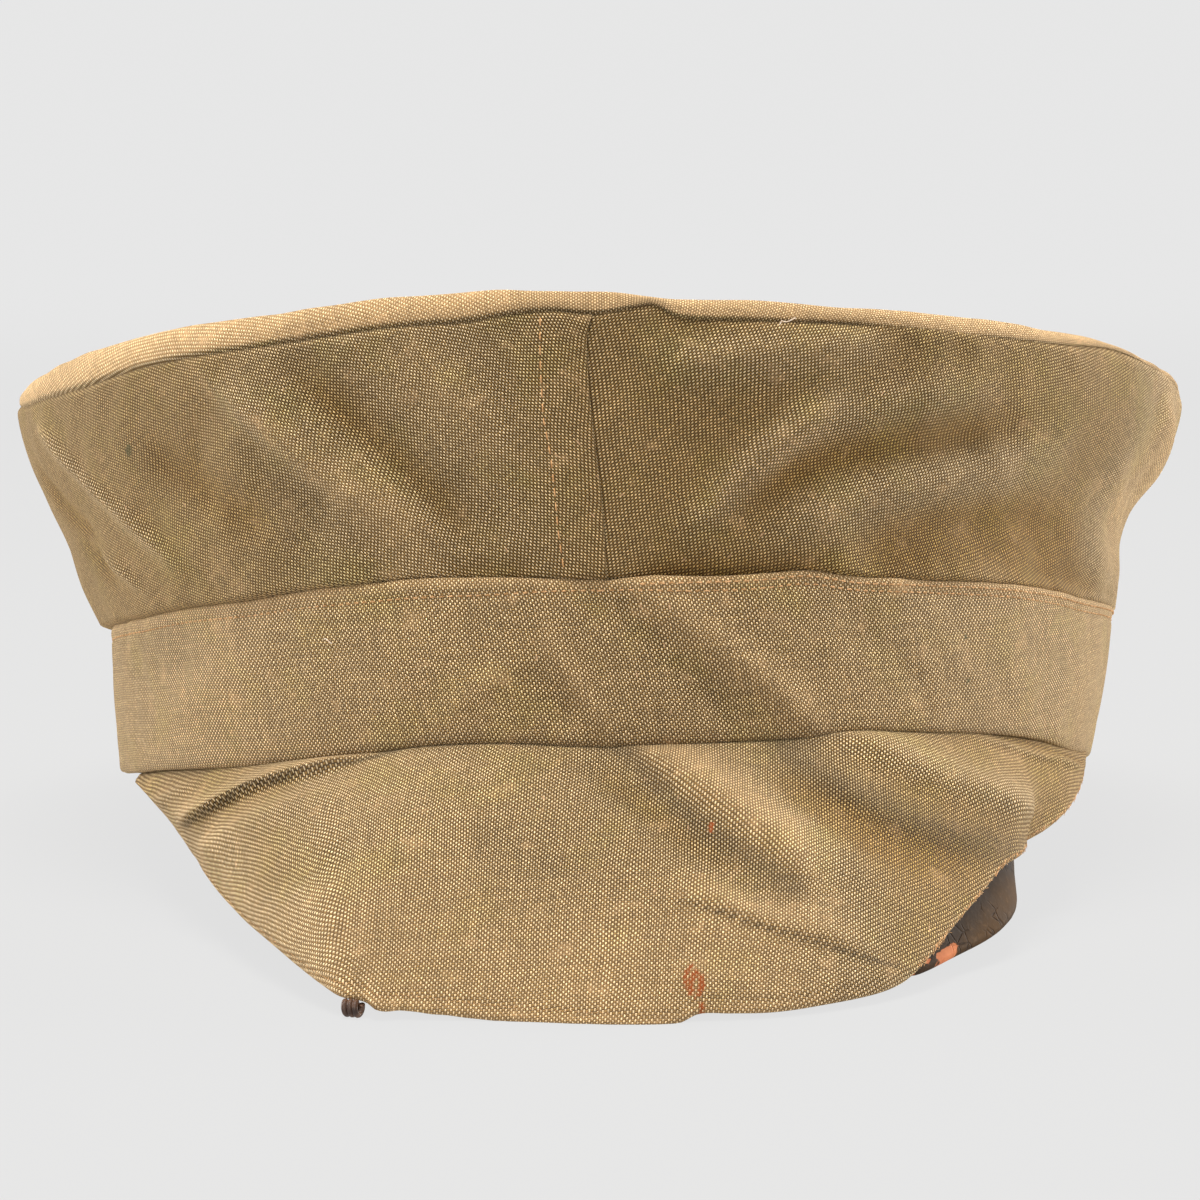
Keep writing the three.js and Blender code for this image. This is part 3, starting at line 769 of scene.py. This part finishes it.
def khaki_cloth(name, warp, weft, gap):
    """Plain weave of khaki threads, faded and marked, with painted light and painted shade read from
    marks on each piece.
    """
    g = Graph(name)
    uv = g.add("UVMap", uv_map="weave").outputs[0]

    def drift(k, scale, reach):
        """Random shift of the threads in one direction, which keeps them from being straight."""
        noise = g.add("TexNoise", {"Vector": uv, "Scale": scale, "Detail": 2.0})
        return g.times(g.split(noise.outputs["Color"])[k], reach)

    # Places counted in threads
    x, y = (
        g.times(g.plus(g.split(uv)[k], g.plus(drift(k, 0.05, 1.6), drift(k, 0.5, 0.14))), 1 / THREAD)
        for k in (0, 1)
    )
    across = g.math("SINE", g.times(x, math.pi))
    up = g.math("SINE", g.times(y, math.pi))
    weave = g.times(across, up)
    # Round top of each thread where it passes over the other one, longer along the thread
    wide = g.math("POWER", g.math("ABSOLUTE", across), 0.5)
    tall = g.math("POWER", g.math("ABSOLUTE", up), 0.4)
    narrow_wide = g.math("POWER", g.math("ABSOLUTE", across), 2.2)
    narrow_tall = g.math("POWER", g.math("ABSOLUTE", up), 2.0)
    over = g.times(g.steps(weave, -0.02, 0.08), g.times(narrow_wide, tall))
    under = g.times(g.steps(weave, -0.08, 0.02, 1.0, 0.0), g.times(wide, narrow_tall))
    # Each thread has its own tone, which changes along it
    warp_tone = g.noise(g.place(g.math("FLOOR", x), g.times(y, 0.03)), 0.9, 2.0)
    weft_tone = g.noise(g.place(g.times(x, 0.03), g.math("FLOOR", y)), 0.9, 2.0)
    cell = g.place(g.math("FLOOR", x), g.math("FLOOR", y))
    chance = g.add("TexWhiteNoise", {"Vector": cell}, noise_dimensions="2D").outputs["Value"]
    warp_share = g.times(g.steps(over, 0.08, 0.6), g.steps(chance, 0.0, 1.0, 0.65, 1.0))
    weft_share = g.times(g.steps(under, 0.05, 0.7), g.steps(chance, 0.0, 1.0, 1.0, 0.6))
    colour = g.mix(weft_share, gap, weft)
    colour = g.mix(warp_share, colour, warp)
    tone = g.plus(g.steps(warp_tone, 0.3, 0.7, -0.5, 0.5), g.steps(weft_tone, 0.3, 0.7, -0.5, 0.5))
    value = g.plus(1.0, g.times(tone, 0.2))
    # Broad fading, wear, and painted light and shade: paler and warmer on worn ridges and where painted
    # as lit, greener and darker in hollows and where painted as shaded
    wear_and_painted_light = g.mark("wear_and_painted_light")
    fade = g.noise(uv, 0.035, 4.0, 0.6)
    green = g.noise(uv, 0.07, 4.0, 0.6)
    pink = g.noise(uv, 0.16, 4.0, 0.65)
    value = g.times(value, g.steps(fade, 0.25, 0.75, 0.88, 1.12))
    # Painted light and shade: this mark lightens the cloth where it is worn or painted as lit, and
    # darkens it where painted as shaded
    value = g.times(value, g.plus(1.0, g.times(wear_and_painted_light, 0.28)))
    # Painted shade: this mark darkens the cloth by up to 60% beside seams and joins, in creases and in
    # hollows
    value = g.times(value, g.steps(g.mark("painted_shade"), 0.0, 1.0, 1.0, 0.4))
    greener = g.math("SUBTRACT", g.steps(green, 0.45, 0.68, 0.0, 0.4), g.times(wear_and_painted_light, 0.25))
    colour = g.mix(greener, colour, g.mix(1.0, colour, GREEN_CAST, "MULTIPLY"))
    # Painted shade: where the mark is below zero, the colour turns deeper and warmer, as cloth looks in
    # shade
    in_shade = g.steps(wear_and_painted_light, -0.9, 0.1, 1.0, 0.0)
    colour = g.mix(in_shade, colour, g.mix(1.0, colour, SHADE_CAST, "MULTIPLY"))
    rosier = g.plus(g.steps(pink, 0.55, 0.75, 0.0, 0.3), g.math("MAXIMUM", g.times(wear_and_painted_light, 0.25), 0.0))
    colour = g.mix(rosier, colour, ROSY)
    # Slubs: a few thick pale stretches of thread
    knots = g.noise(g.place(g.times(x, 0.45), g.times(y, 0.12)), 1.0, 1.0)
    colour = g.mix(g.steps(knots, 0.74, 0.82, 0.0, 0.5), colour, SLUB)
    shade = g.add("VectorMath", {0: colour, 3: value}, operation="SCALE").outputs[0]
    # Blots with ragged edges, stronger on the threads that lie on top
    ragged = g.plus(g.noise(uv, 1.3, 4.0, 0.7), -0.5)
    soaked = g.steps(over, 0.0, 0.8, 0.95, 0.7)
    rust = g.times(g.steps(g.plus(g.mark("rust"), g.times(ragged, 2.0)), 0.25, 0.75), soaked)
    shade = g.mix(rust, shade, RUST)
    dark = g.steps(g.plus(g.mark("spot"), g.times(ragged, 0.9)), 0.35, 0.7, 0.0, 0.8)
    shade = g.mix(dark, shade, SPECK)
    rise = g.plus(g.plus(over, g.times(under, 0.8)), g.times(g.noise(uv, 3.2), 0.3))
    bump = g.bump(rise, 0.00012)
    sheen = {"Sheen Weight": 0.38, "Sheen Roughness": 0.4, "Sheen Tint": srgb(255, 220, 166)}
    return g.finish(shade, 0.85, 0.3, {**sheen, "Normal": bump})


def peak_leather(name):
    """Old dark leather, with a dull bloom, fine cracks and raw patches, and painted shade near the
    cloth's edge.
    """
    g = Graph(name)
    at = g.add("TexCoord").outputs["Object"]
    broad = g.noise(at, 60.0, 4.0, 0.6)
    fine = g.noise(at, 900.0, 3.0, 0.6)
    colour = g.mix(g.steps(broad, 0.3, 0.75), srgb(52, 36, 18), srgb(78, 55, 29))
    colour = g.mix(g.steps(fine, 0.5, 0.8, 0.0, 0.4), colour, srgb(110, 84, 57))
    # Painted shade: near-black brown where the leather lies by the cloth's edge
    colour = g.mix(g.mark("painted_shade"), colour, srgb(34, 24, 16))
    cells = g.add("TexVoronoi", {"Vector": at, "Scale": 420.0}, feature="DISTANCE_TO_EDGE")
    crack = g.steps(cells.outputs["Distance"], 0.0, 0.08, 1.0, 0.0)
    crack = g.times(crack, g.steps(g.noise(at, 130.0), 0.5, 0.62))
    colour = g.mix(g.times(crack, 0.6), colour, srgb(40, 32, 28))
    ragged = g.plus(g.noise(at, 700.0, 3.0), -0.5)
    raw = g.steps(g.plus(g.mark("raw"), g.times(ragged, 1.0)), 0.4, 0.6)
    raw_tone = g.mix(g.noise(at, 500.0), srgb(176, 96, 60), srgb(208, 134, 90))
    colour = g.mix(raw, colour, raw_tone)
    relief_map = g.plus(g.times(fine, 0.5), g.times(crack, -0.8))
    bump = g.bump(g.plus(relief_map, g.times(raw, -0.7)), 0.00018, 0.7)
    rough = g.steps(broad, 0.3, 0.7, 0.6, 0.75)
    return g.finish(colour, rough, 0.09, {"Normal": bump})


def loop_leather(name):
    """Dark brown wound thong."""
    g = Graph(name)
    at = g.add("TexCoord").outputs["Object"]
    broad = g.noise(at, 500.0, 3.0)
    colour = g.mix(g.steps(broad, 0.3, 0.7), srgb(52, 34, 26), srgb(104, 74, 56))
    bump = g.bump(g.noise(at, 2500.0), 0.00008, 0.7)
    return g.finish(colour, 0.48, 0.45, {"Normal": bump})


def sewing_thread(name, light, dark):
    """Twisted sewing thread."""
    g = Graph(name)
    at = g.add("TexCoord").outputs["Object"]
    twist = g.noise(at, 1800.0)
    broad = g.noise(at, 90.0)
    colour = g.mix(g.steps(twist, 0.35, 0.65), dark, light)
    colour = g.mix(g.steps(broad, 0.4, 0.75, 0.0, 0.5), colour, dark)
    bump = g.bump(twist, 0.00005, 0.6)
    return g.finish(colour, 0.85, 0.2, {"Normal": bump})


def studio_paper(name, colour, glow):
    """Pale, even paper, which also lights the cap softly from below."""
    g = Graph(name)
    depth = g.split(g.add("TexCoord").outputs["Object"])[1]
    glowing = g.steps(depth, 0.2, 2.5, *glow)
    return g.finish(colour, 0.9, 0.0, {"Emission Color": WHITE, "Emission Strength": glowing})


KHAKI = khaki_cloth("khaki_cloth", srgb(255, 226, 178), srgb(142, 108, 54), srgb(58, 38, 8))
LEATHER_LOOK = peak_leather("peak_leather_worn")
LOOP_LOOK = loop_leather("loop_leather_dark")
TAN_THREAD = sewing_thread("tan_thread", srgb(232, 182, 130), srgb(188, 138, 90))
LINT_THREAD = sewing_thread("lint_thread", srgb(240, 226, 208), srgb(216, 190, 164))
KHAKI_THREAD = sewing_thread("khaki_thread", srgb(226, 178, 130), srgb(164, 124, 80))


# Pieces


def made(piece, node=None, material=KHAKI):
    """Gives a piece its material and its body, and hides the model's part that it stands in for."""
    piece.data.materials.append(material)
    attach(piece, "root")
    if node:
        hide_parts(node)
    return piece


def fold_rise(folds, phi, share, scale):
    """Height of the folds as a share, between -1 and 1; it drives paler ridges, partly wear and partly
    painted light, and painted shade in hollows.
    """
    return np.clip(relief(folds, phi, share, scale) / 1.8, -1, 1)


def blots(spots, phi, share, scale):
    """Strength of small blots: each is a half width in mm and a path of places."""
    x, y = np.broadcast_arrays(phi * scale[0], share * scale[1])
    total = np.zeros(x.shape)
    for width, path in spots:
        near = nearest(np.array(path, float) * scale, x, y)[0]
        total = np.maximum(total, 1 - smooth(near / (2 * width)))
    return total


def spans(*parts):
    """Rising values: each part is its end and its number of steps, from the last part's end."""
    values = [parts[0]]
    for end, steps in parts[1:]:
        values += list(np.linspace(values[-1], end, steps + 1)[1:])
    return np.array(values)


def grid(columns, rows):
    """Angles and shares of a whole grid."""
    return np.broadcast_arrays(columns[:, None], rows[None, :])


CROWN_SPOTS = [(0.7, [(-50, 0.7), (-50.3, 0.68)]), (0.4, [(-56, 0.39), (-56, 0.38)])]
BAND_SPOTS = [(0.45, [(40, 0.65), (40.3, 0.63)]), (0.4, [(41, 0.34), (41, 0.33)])]
COVER_RUST = [
    (0.22, [(10.1, 0.38), (10.5, 0.4), (10.1, 0.43)]),
    (0.25, [(8, 0.865), (8.2, 0.885)]),
    (0.5, [(7.9, 0.9), (8.0, 0.93), (8.1, 0.95)]),
    (0.5, [(8.9, 0.9), (9.4, 0.93), (9.0, 0.96)]),
    (0.3, [(9.2, 0.98), (9.3, 0.987)]),
]
LEATHER_RAW = [(0.85, [(34.9, 0.985), (36.4, 0.99)]), (0.4, [(33.2, 0.985), (33.5, 0.99)])]


def lapped(beside):
    """How far a side panel is lifted over the other one, at degrees from its end."""
    return smooth(1 - (np.abs(beside) - LAP_FLAT) / LAP_FADE)


def crown_side(name, node, phi_from, phi_to, over_at, under_at, grain):
    """Side panel: it lies over the other one at one end, and under it at the other end."""
    columns = spans(phi_from, (phi_to, int(2 * (phi_to - phi_from))))
    rows = spans(-CROWN_TUCK / CROWN_MM[1], (0, 3), (0.14, 12), (0.88, 34), (1, 14))
    phi, t = grid(columns, rows)
    if over_at == 0:
        phi = phi + track(LAP_EDGE, "phi", t) * smooth((phi + 20) / 20)
    over = lapped(phi - over_at)
    under = smooth(1 - (np.abs(phi - under_at) - UNDERLAP) / UNDERLAP_FADE)
    lift = over * LAP_RAISE - under * LAP_SINK
    outer = crown_face(phi, t, lift, 0.0)
    inner = crown_face(phi, t, lift, CLOTH - over * (CLOTH - LAP_CLOTH))
    head = ring(CROWN_SIZES, columns, height(SEAM, columns), 0.0)
    foot = ring(CROWN_SIZES, columns, height(TOP, columns), 0.0)
    weave = grained(strip_weave(foot, head, columns, t) * SIDE_EASE, *grain)
    seam = track(SEAM_OPEN, "open", np.clip(phi, -180, 180))
    at_seam = seam * smooth(1 - (1 - t) * CROWN_MM[1] / 0.6)
    at_band = smooth(1 - t * CROWN_MM[1] / 1.4)
    from_lap = (phi - track(LAP_EDGE, "phi", t)) * CROWN_MM[0]
    at_lap = np.exp(-((from_lap / 0.5) ** 2)) * (node == "crown_side_right")
    in_creases = blots(CROWN_CREASES, phi, t, CROWN_MM)
    # Painted light: paler at the far right side and left of the front
    painted_light_share = 0.7 * smooth((phi - 56) / 14) + 0.5 * np.exp(-(((phi + 18) / 14) ** 2))
    marks = {
        # Painted light and shade: darker overall, paler on fold ridges and darker in fold hollows, paler
        # where painted as lit
        "wear_and_painted_light": 0.5 * fold_rise(CROWN_FOLDS, phi, t, CROWN_MM) - 0.35 + painted_light_share,
        # Painted shade: darker beside the seam under the top, just over the band, along a crease over
        # the band, and beside the left panel's lap edge
        "painted_shade": 0.35 * at_seam + 0.25 * at_band + 0.5 * in_creases + 0.7 * at_lap,
        "spot": blots(CROWN_SPOTS, phi, t, CROWN_MM),
    }
    made(sheet_object(name, outer, inner, weave, marks), node)


def top_panel():
    columns = spans(-180, (180, 480))
    phi, h = grid(columns, spans(0, (0.2, 5), (0.8, 8), (1, 7)))
    phi_flat, share = grid(columns, 1 - spans(0.015, (0.998, 45)) ** 1.1)

    def face(depth):
        return np.concatenate([rim_face(phi, h, depth), top_face(phi_flat, share, depth)], 1)

    across = np.concatenate([1 + (1 - h) * 0.05, share], 1)
    weave = ring(CROWN_SIZES, columns, height(RIM, columns), RIM_TURN)[:, None, :2] * across[..., None]
    at_seam = track(SEAM_OPEN, "open", phi) * smooth(1 - h / 0.12)
    marks = {
        # Wear and painted light: the rim and the edge of the top are painted paler
        "wear_and_painted_light": np.concatenate([1.3 * smooth(h / 0.2), 1.3 - smooth((1 - share) / 0.1)], 1),
        # Painted shade: darker beside the seam under the rim
        "painted_shade": np.concatenate([0.35 * at_seam, 0 * share], 1),
    }
    piece = sheet_object("top_panel_cloth", face(0.0), face(CLOTH), weave, marks, closed=True)
    made(piece, "crown_top")


def band_ring():
    columns = spans(-180, (180, 720))
    phi, share = grid(columns, spans(0, (1, 33)))
    foot = ring(BAND_SIZES, columns, height(LOW, columns), 0.0)
    head = ring(BAND_SIZES, columns, height(TOP, columns), 0.0)
    weave = grained(strip_weave(foot, head, columns, share), 12, 94)
    at_edge = smooth((share - 0.93) / 0.07)
    marks = {
        # Painted light: the band is painted paler overall; also paler towards its upper edge and on fold
        # ridges, darker in fold hollows
        "wear_and_painted_light": 0.25 + 0.4 * fold_rise(BAND_FOLDS, phi, share, BAND_MM) + 0.4 * at_edge,
        # Painted shade: darker along the band's lower edge, where it meets the peak
        "painted_shade": 0.3 * smooth(1 - share / 0.1),
        "spot": blots(BAND_SPOTS, phi, share, BAND_MM),
    }
    outer, inner = (band_face(phi, share, depth) for depth in (0.0, BAND_CLOTH))
    piece = sheet_object("band_cloth", outer, inner, weave, marks, closed=True)
    made(piece, "band")


ROOT_ROWS = 5


def rooted(face, columns, rows, thickness, inset, bends):
    """Both faces of a piece whose root turns up inside the band, with its angles and shares."""
    phi, share = grid(columns, rows)
    faces = []
    for depth, bend in zip((0.0, thickness), bends):
        root = [flange(columns, rise, inset + depth) for rise in np.linspace(ROOT_TUCK, bend, ROOT_ROWS)]
        faces.append(np.concatenate([np.stack(root, 1), face(phi, share, depth)], 1))
    phi = np.pad(phi, ((0, 0), (ROOT_ROWS, 0)), "edge")
    share = np.pad(share, ((0, 0), (ROOT_ROWS, 0)), constant_values=0.0)
    return phi, share, faces[0], faces[1]


def cloth_cover():
    columns = spans(-68, (75, 270))
    rows = spans(0.05, (0.9, 61), (1.0, 11))
    inset = BAND_CLOTH + GAP
    phi, share, outer, inner = rooted(cover_face, columns, rows, CLOTH, inset, (-0.45, -0.9))
    v = share * track(COVER_REACH, "v", phi)
    at_edge = np.exp(-(1 - share) * COVER_MM[1])
    at_root = smooth(1 - share / 0.12)
    # Painted light: paler towards the outline, left of about 32 degrees
    painted_light_share = smooth((v - 0.4) / 0.5) * smooth((32 - phi) / 18)
    # Painted shade: darker over the right side and the far left
    shaded_sides = 1.3 * smooth((phi - 14) / 22) + smooth((-27 - phi) / 12)
    ridged = fold_rise(COVER_FOLDS, phi, v, COVER_MM)
    creased, hollow, rusty = (
        blots(spots, phi, v, COVER_MM) for spots in (COVER_CREASES, COVER_HOLLOWS, COVER_RUST)
    )
    marks = {
        # Painted light and shade: paler on ridges, towards the edge and where painted as lit, darker at
        # the shaded sides
        "wear_and_painted_light": 0.15 + 0.4 * ridged + 0.3 * at_edge + 0.45 * painted_light_share - 0.45 * shaded_sides,
        # Painted shade: darker at the root under the band's edge, on the shaded sides, along creases and
        # in hollows
        "painted_shade": 0.5 * at_root + 0.12 * shaded_sides + 0.8 * creased + 0.55 * hollow,
        "rust": rusty,
    }
    flat = np.zeros_like(columns)
    root, tip = (peak_line(columns, flat + v_at) for v_at in (0.0, 1.0))
    weave = strip_weave(root, tip, columns, v)
    weave[:, :ROOT_ROWS, 1] -= np.linspace(ROOT_TUCK, 0.5, ROOT_ROWS)
    piece = sheet_object("peak_cover_cloth", outer, inner, grained(weave, 4, 88), marks)
    made(piece, "peak_cover")


def leather_peak():
    columns = spans(-46, (48, 188))
    rows = spans(0.04, (0.7, 23), (1.0, 29))
    inset = BAND_CLOTH + CLOTH + 2.4 * GAP
    phi, share, outer, inner = rooted(leather_face, columns, rows, LEATHER, inset, (-1.2, -1.0))
    edge = (1 - share) * COVER_MM[1]
    thin_wear = 0.5 * np.exp(-edge / 0.25) * smooth(soft_noise(phi * COVER_MM[0], 0, size=5.0, seed=61))
    bared = (share - track(COVER_REACH, "v", phi)) * COVER_MM[1]
    marks = {
        "raw": np.maximum(blots(LEATHER_RAW, phi, share, COVER_MM), thin_wear),
        # Painted shade: darker towards the edge of the cover, fading out over about 9 mm of bare leather
        "painted_shade": 0.85 * np.clip(1 - (bared - 0.5) / 9.0, 0, 1) ** 1.3,
    }
    piece = sheet_object("leather_peak_worn", outer, inner, outer[..., :2], marks)
    made(piece, "peak", LEATHER_LOOK)


def thong_loop():
    """Thong wound three times round the edge of the peak."""
    lowest, highest = (np.array(corner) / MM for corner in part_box("peak_loop"))
    turn = math.radians(-20)
    way = np.array([math.cos(turn), math.sin(turn), 0.0])
    side = np.array([-math.sin(turn), math.cos(turn), 0.0])
    rounds = 3.1
    share = np.linspace(0, 1, 90)
    angle = 2 * math.pi * rounds * share
    deep, tall = 0.8, 0.9
    path = (lowest + highest) / 2 + np.outer((share - 0.5) * 2.6, way)
    path = path + np.outer(np.cos(angle) * deep, side) + np.outer(np.sin(angle) * tall + 0.27, [0, 0, 1])
    made(tubes("thong_loop", [path], [0.46], 12), "peak_loop", LOOP_LOOK)


crown_side("side_left_cloth", "crown_side_left", -180 - UNDERLAP, 0.0, 0.0, -180.0, (42, 125))
crown_side("side_right_cloth", "crown_side_right", -UNDERLAP, 180.0, 180.0, 0.0, (-43, 58))
top_panel()
band_ring()
cloth_cover()
leather_peak()
thong_loop()

# Sewing


def outward(face, phi, share):
    """Direction straight out of a face."""
    across = face(phi + 0.3, share) - face(phi - 0.3, share)
    upward = face(phi, share + 0.01) - face(phi, share - 0.01)
    return unit(np.cross(across, upward))


def along(face, places, pitch):
    """Points and outward directions at even distances along a path of places on a face."""
    places = np.array(places, float)
    way = np.linspace(0, len(places) - 1, 60 * (len(places) - 1) + 1)
    phi = np.interp(way, np.arange(len(places)), places[:, 0])
    share = np.interp(way, np.arange(len(places)), places[:, 1])
    points = face(phi, share)
    gone = np.concatenate([[0], np.cumsum(np.linalg.norm(np.diff(points, axis=0), axis=1))])
    marks = np.arange(pitch / 2, gone[-1], pitch)
    phi = np.interp(marks, gone, phi)
    share = np.interp(marks, gone, share)
    return face(phi, share), outward(face, phi, share)


def stitches(name, face, places, material, length=1.1, gap=0.4, radius=0.13, seed=1):
    """Row of sewn stitches, each a short thread that dips into the cloth at both ends."""
    fine = 5
    points, out = along(face, places, (length + gap) / (fine + 1))
    chance = np.random.default_rng(seed)
    paths = []
    radii = []
    for start in range(0, len(points) - fine, fine + 1):
        span = slice(start, start + fine)
        bow = np.array([-0.1, 0.1, 0.14, 0.1, -0.1]) + chance.uniform(-0.02, 0.02)
        paths.append(points[span] + out[span] * bow[:, None])
        radii.append(radius * np.array([0.55, 1.0, 1.05, 1.0, 0.55]))
    made(tubes(name, paths, radii), material=material)


def left_outside(phi, t):
    return crown_face(phi, t, lapped(phi) * LAP_RAISE, 0.0)


def band_row(drop, phi_from, phi_to):
    """Places along the band, at a distance under its upper edge."""
    phi = np.arange(phi_from, phi_to + 2.0, 2.0)
    drop = height(STITCH_DROP, phi) if drop is None else drop
    return np.stack([phi, 1 - drop / (height(TOP, phi) - height(LOW, phi))], 1)


def fibre(face, start, end, lift):
    """Path of a loose fibre that lies on a face, and rises off it in the middle."""
    share = np.linspace(0, 1, 9)
    phi = start[0] + (end[0] - start[0]) * share
    up = start[1] + (end[1] - start[1]) * share + 0.01 * np.sin(5 * share)
    rise = 0.1 + lift * np.sin(np.pi * share)
    return face(phi, up) + outward(face, phi, up) * rise[:, None]


def frayed_edge():
    """Short loose threads along the raw edge of the cover, over the bare leather."""
    chance = np.random.default_rng(8)
    paths = []
    bend = np.linspace(0, 1, 5) ** 2
    for phi in chance.uniform(FRAY_SPAN[0], FRAY_SPAN[1], FRAY_COUNT):
        reach = chance.uniform(0.15, 0.9)
        share = 1 + np.linspace(-0.4, reach, 5) / COVER_MM[1]
        lean = chance.uniform(-0.6, 0.6) * bend
        path = cover_face(phi + lean, share)
        path[:, 2] += chance.uniform(-0.5, 0.3) * bend
        path[:, 2] = np.maximum(path[:, 2], 0.1)
        paths.append(path)
    return paths


LAP_ROW = [(-5.6, 0.985), (-5.6, 0.78), (-5.5, 0.61), (-5, 0.46), (-4.6, 0.2), (-4.1, 0.03)]
HEM_ROW = [(phi, 1 - HEM / COVER_MM[1]) for phi in np.arange(HEM_SPAN[0] + 3, HEM_SPAN[1] - 1, 2.0)]
stitches("stitches_lap", left_outside, LAP_ROW, TAN_THREAD, length=1.8, radius=0.12, seed=2)
stitches("stitches_lap_bar", band_face, [(-1.3, 0.955), (0.5, 0.965)], TAN_THREAD, seed=6)
stitches("stitches_band", band_face, band_row(None, -180, 180), KHAKI_THREAD, seed=3)
stitches("stitches_band_edge", band_face, band_row(0.2, 3, 120), KHAKI_THREAD, seed=4)
stitches("stitches_cover_hem", cover_face, HEM_ROW, KHAKI_THREAD, radius=0.12, seed=5)

fray = frayed_edge()
made(tubes("frayed_threads", fray, [0.04] * len(fray), 4), material=KHAKI_THREAD)
lint = [
    fibre(rim_face, (16.3, 0.12), (15.1, 0.02), 0.6),
    fibre(rim_face, (15.1, 0.02), (14.6, -0.4), 0.5),
    fibre(cover_face, (17.2, 0.32), (18.4, 0.36), 0.2),
    fibre(cover_face, (-31.5, 0.12), (-30.2, 0.1), 0.3),
    fibre(cover_face, (-39, 0.22), (-38, 0.24), 0.2),
    fibre(band_face, (-30.4, 0.71), (-29.4, 0.69), 0.2),
]
made(tubes("loose_fibres", lint, [0.09] * len(lint)), material=LINT_THREAD)

# Room, light and camera


def studio():
    """Floor that turns up into a backdrop."""
    curve = [(-2.0, 0.0), (3.0, 0.0)]
    curve += [(3.0 + math.sin(a), 1.0 - math.cos(a)) for a in np.radians(np.arange(5, 91, 5))]
    curve += [(4.0, 4.0)]
    points = np.array([(x, y, z) for x in (-4.0, 4.0) for y, z in curve]) / MM
    count = len(curve)
    corners = np.array([(i, i + 1, i + 1 + count, i + count) for i in range(count - 1)])[:, ::-1]
    floor = new_object("studio_floor", points, corners.ravel(), np.full(count - 1, 4))
    dark_grey = (0.04, 0.04, 0.04, 1.0)
    glow = (0.727, 0.782)
    floor.data.materials.append(studio_paper("studio_paper", dark_grey, glow))


def area_light(name, place, aim_height, size, power, colour):
    """Round soft light that faces a point over the origin."""
    data = bpy.data.lights.new(name, "AREA")
    data.shape = "DISK"
    data.size = size
    data.energy = power
    data.color = colour
    light = bpy.data.objects.new(name, data)
    light.location = place
    aim = Vector((0.0, 0.0, aim_height)) - Vector(place)
    light.rotation_euler = aim.to_track_quat("-Z", "Y").to_euler()
    bpy.context.scene.collection.objects.link(light)


studio()
WARM = (1.0, 0.985, 0.95)
WARMER = (1.0, 0.97, 0.93)
area_light("front", (-0.2, -1.2, 0.45), 0.04, 1.2, 9.6, WARM)
area_light("above", (-0.05, -0.3, 1.2), 0.08, 0.6, 15.0, WARM)
area_light("left", (-1.0, 0.35, 0.18), 0.05, 0.7, 14.0, WARMER)
area_light("right", (1.0, 0.35, 0.18), 0.05, 0.7, 21.0, WARMER)

world = bpy.data.worlds.new("soft_room")
world.use_nodes = True
sky = world.node_tree.nodes["Background"].inputs
sky[0].default_value = WHITE
sky[1].default_value = 0.12
bpy.context.scene.world = world
bpy.context.scene.view_settings.view_transform = "Standard"

lens = bpy.data.cameras.new("camera")
lens.lens = 108.0
lens.sensor_width = 36.0
camera = bpy.data.objects.new("camera", lens)
camera.location = (0.0, -0.637545, 0.125036)
camera.rotation_euler = Euler((math.radians(82.96), 0.0, 0.0))
bpy.context.scene.collection.objects.link(camera)
bpy.context.scene.camera = camera
